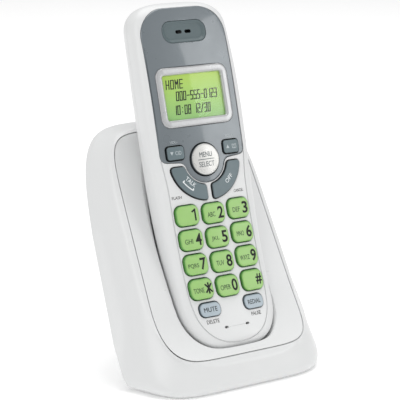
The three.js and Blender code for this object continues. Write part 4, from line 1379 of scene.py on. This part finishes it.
def cradle():
    """Front plate of the base with the well that the handset stands in."""
    gap = INSERT_GAP
    made = sheet_in_ring(
        "cradle_plate", groove_half_width, -gap, GROOVE_TOP - gap, GROOVE_BOTTOM + gap, PLATE_POWERS,
        front_y, INSERT_THICKNESS / math.sin(BASE_LEAN),
    )
    behind = sheet_in_ring("behind", groove_half_width, -3.4, 98.8, 15.4, PLATE_POWERS, front_y, 60, 60, 8)
    low = box((-30, -35, 4), (30, 40, 22))
    limit = sheet_in_ring("limit", groove_half_width, 0, GROOVE_TOP, -4, PLATE_POWERS, front_y, 90, 60, 8)
    boolean(low, [limit], "INTERSECT")
    boolean(behind, [low], "UNION")
    wall = pocket("wall", POCKET_CLEARANCE + POCKET_WALL)
    boolean(wall, [behind], "INTERSECT")
    slots = []
    for side in (-1, 1):
        slot = pad_box(side, -0.2, -95, -80)
        rewrite(slot, handset_to_base)
        slots.append(slot)
    boolean(made, [wall], "UNION")
    boolean(made, [pocket("well", POCKET_CLEARANCE, LIP_WIDTH), *slots])
    return to_base(made, "cradle_insert")


def stand_block(inset, ground):
    """Block that holds the base up behind its sloping slab."""
    back = STAND_BACK - inset
    join = STAND_JOIN_TOP - inset
    side = np.array([
        (slab_y(ground) - 4, ground), (back, ground), (back, STAND_BACK_TOP - inset),
        (slab_y(join) + 21.6, join), (slab_y(join) + 8, join),
    ])
    side = rounded_corners(side, [0, 1.2, 4, 4, 0])
    block = loft("stand", [np.column_stack([np.full(len(side), x), side]) for x in (-40, 40)])
    near, middle, far = (half - inset for half in STAND_HALF_WIDTHS)
    near_y, middle_y, far_y = STAND_STATIONS
    half_plan = [(near, near_y), (middle, middle_y), (far, far_y - inset)]
    plan = np.array(half_plan + [(-x, y) for x, y in reversed(half_plan)])
    plan = rounded_corners(plan, [0, 6, 5, 5, 6, 0])
    return boolean(block, [prism("plan", plan, 0, 110)], "INTERSECT")


def rounded_corners(corners, radii):
    """Closed outline with a soft corner of that size at each point."""
    count = len(corners)
    lines = [np.array([corners[i - 1], corners[i]]) for i in range(count)]
    return rounded_path(lines, [radii[i] for i in range(count)])


def slab_tube(place, radius, low, high):
    """Cylinder square to the slab, between two depths behind its front."""
    x, along = place
    cos, sin = math.cos(BASE_LEAN), math.sin(BASE_LEAN)
    ring = circle(0, 0, radius, 32)
    rings = []
    for depth in (low, high):
        up = along + ring[:, 1]
        y = slab_y(SLAB_MIDDLE_Z) + cos * up + sin * depth
        rings.append(np.stack([x + ring[:, 0], y, SLAB_MIDDLE_Z + sin * up - cos * depth], axis=1))
    return loft("tube", rings)


def rear_cover():
    """Back of the base: a plate under the frame, and the hollow stand with its two sockets."""
    made = sheet_in_ring(
        "base_back_cover", outer_half_width, -COVER_INSET, COVER_TOP, BASE_BOTTOM + COVER_INSET,
        COVER_POWERS, back_y, COVER_THICKNESS / math.sin(BASE_LEAN),
    )
    block = stand_block(0, BASE_BOTTOM)
    limit = sheet_in_ring("limit", outer_half_width, 0, 112, -8, COVER_POWERS, back_y, 120, 40, 8)
    boolean(block, [limit], "INTERSECT")
    boolean(made, [block], "UNION")
    tools = [stand_block(2.2, 3.0), *foot_recesses()]
    for low, high in SOCKETS:
        tools.append(box((low[0] - 0.2, low[1], low[2] - 0.2), (high[0] + 0.2, high[1] + 10, high[2] + 0.2)))
    for place in BASE_SCREWS:
        tools.append(slab_tube(place, 1.4, 10, 30))
    boolean(made, tools)
    return to_base(made, "base_rear_cover")


def build_handset():
    keys = key_table()
    front_skin(keys)
    panel_piece(keys)
    bezel_piece()
    display_glass()
    display_panel()
    earpiece_dish()
    for key in keys:
        key_piece(*key)
    rear_skin()
    door_piece()
    key_legends(keys)
    face_legends()
    display_text()


def build_base():
    base_frame()
    cradle()
    rear_cover()


# ---------- stage ----------
def floor():
    work = bmesh.new()
    bmesh.ops.create_grid(work, x_segments=8, y_segments=8, size=4)
    mesh = bpy.data.meshes.new("floor")
    work.to_mesh(mesh)
    work.free()
    made = bpy.data.objects.new("floor", mesh)
    bpy.context.scene.collection.objects.link(made)
    glow = {"Emission Color": (1, 1, 1, 1), "Emission Strength": PAPER_GLOW}
    paper = moulded("floor_paper", "#fafafa", 0.9, grain=300, strength=0.02, mottle=0.002, **glow)
    made.data.materials.append(paper)


def soft_light(name, place, target, size, power):
    data = bpy.data.lights.new(name, "AREA")
    data.shape = "RECTANGLE"
    data.size, data.size_y = size
    data.energy = power
    made = bpy.data.objects.new(name, data)
    bpy.context.scene.collection.objects.link(made)
    made.location = place
    made.rotation_euler = (Vector(target) - Vector(place)).to_track_quat("-Z", "Y").to_euler()


def lights():
    world = bpy.data.worlds.new("studio")
    world.use_nodes = True
    world.node_tree.nodes["Background"].inputs["Color"].default_value = (1, 1, 1, 1)
    world.node_tree.nodes["Background"].inputs["Strength"].default_value = SKY
    bpy.context.scene.world = world
    for light in LIGHTS:
        soft_light(*light)


def camera():
    data = bpy.data.cameras.new("camera")
    data.lens = 135
    data.sensor_width = 36
    data.clip_end = 20
    made = bpy.data.objects.new("camera", data)
    bpy.context.scene.collection.objects.link(made)
    made.location = CAMERA_PLACE
    made.rotation_euler = Vector(CAMERA_AHEAD).to_track_quat("-Z", "Y").to_euler()
    bpy.context.scene.camera = made


bpy.context.scene.view_settings.view_transform = "Standard"
camera()
lights()
floor()
refinish_cad_nodes()
build_handset()
build_base()
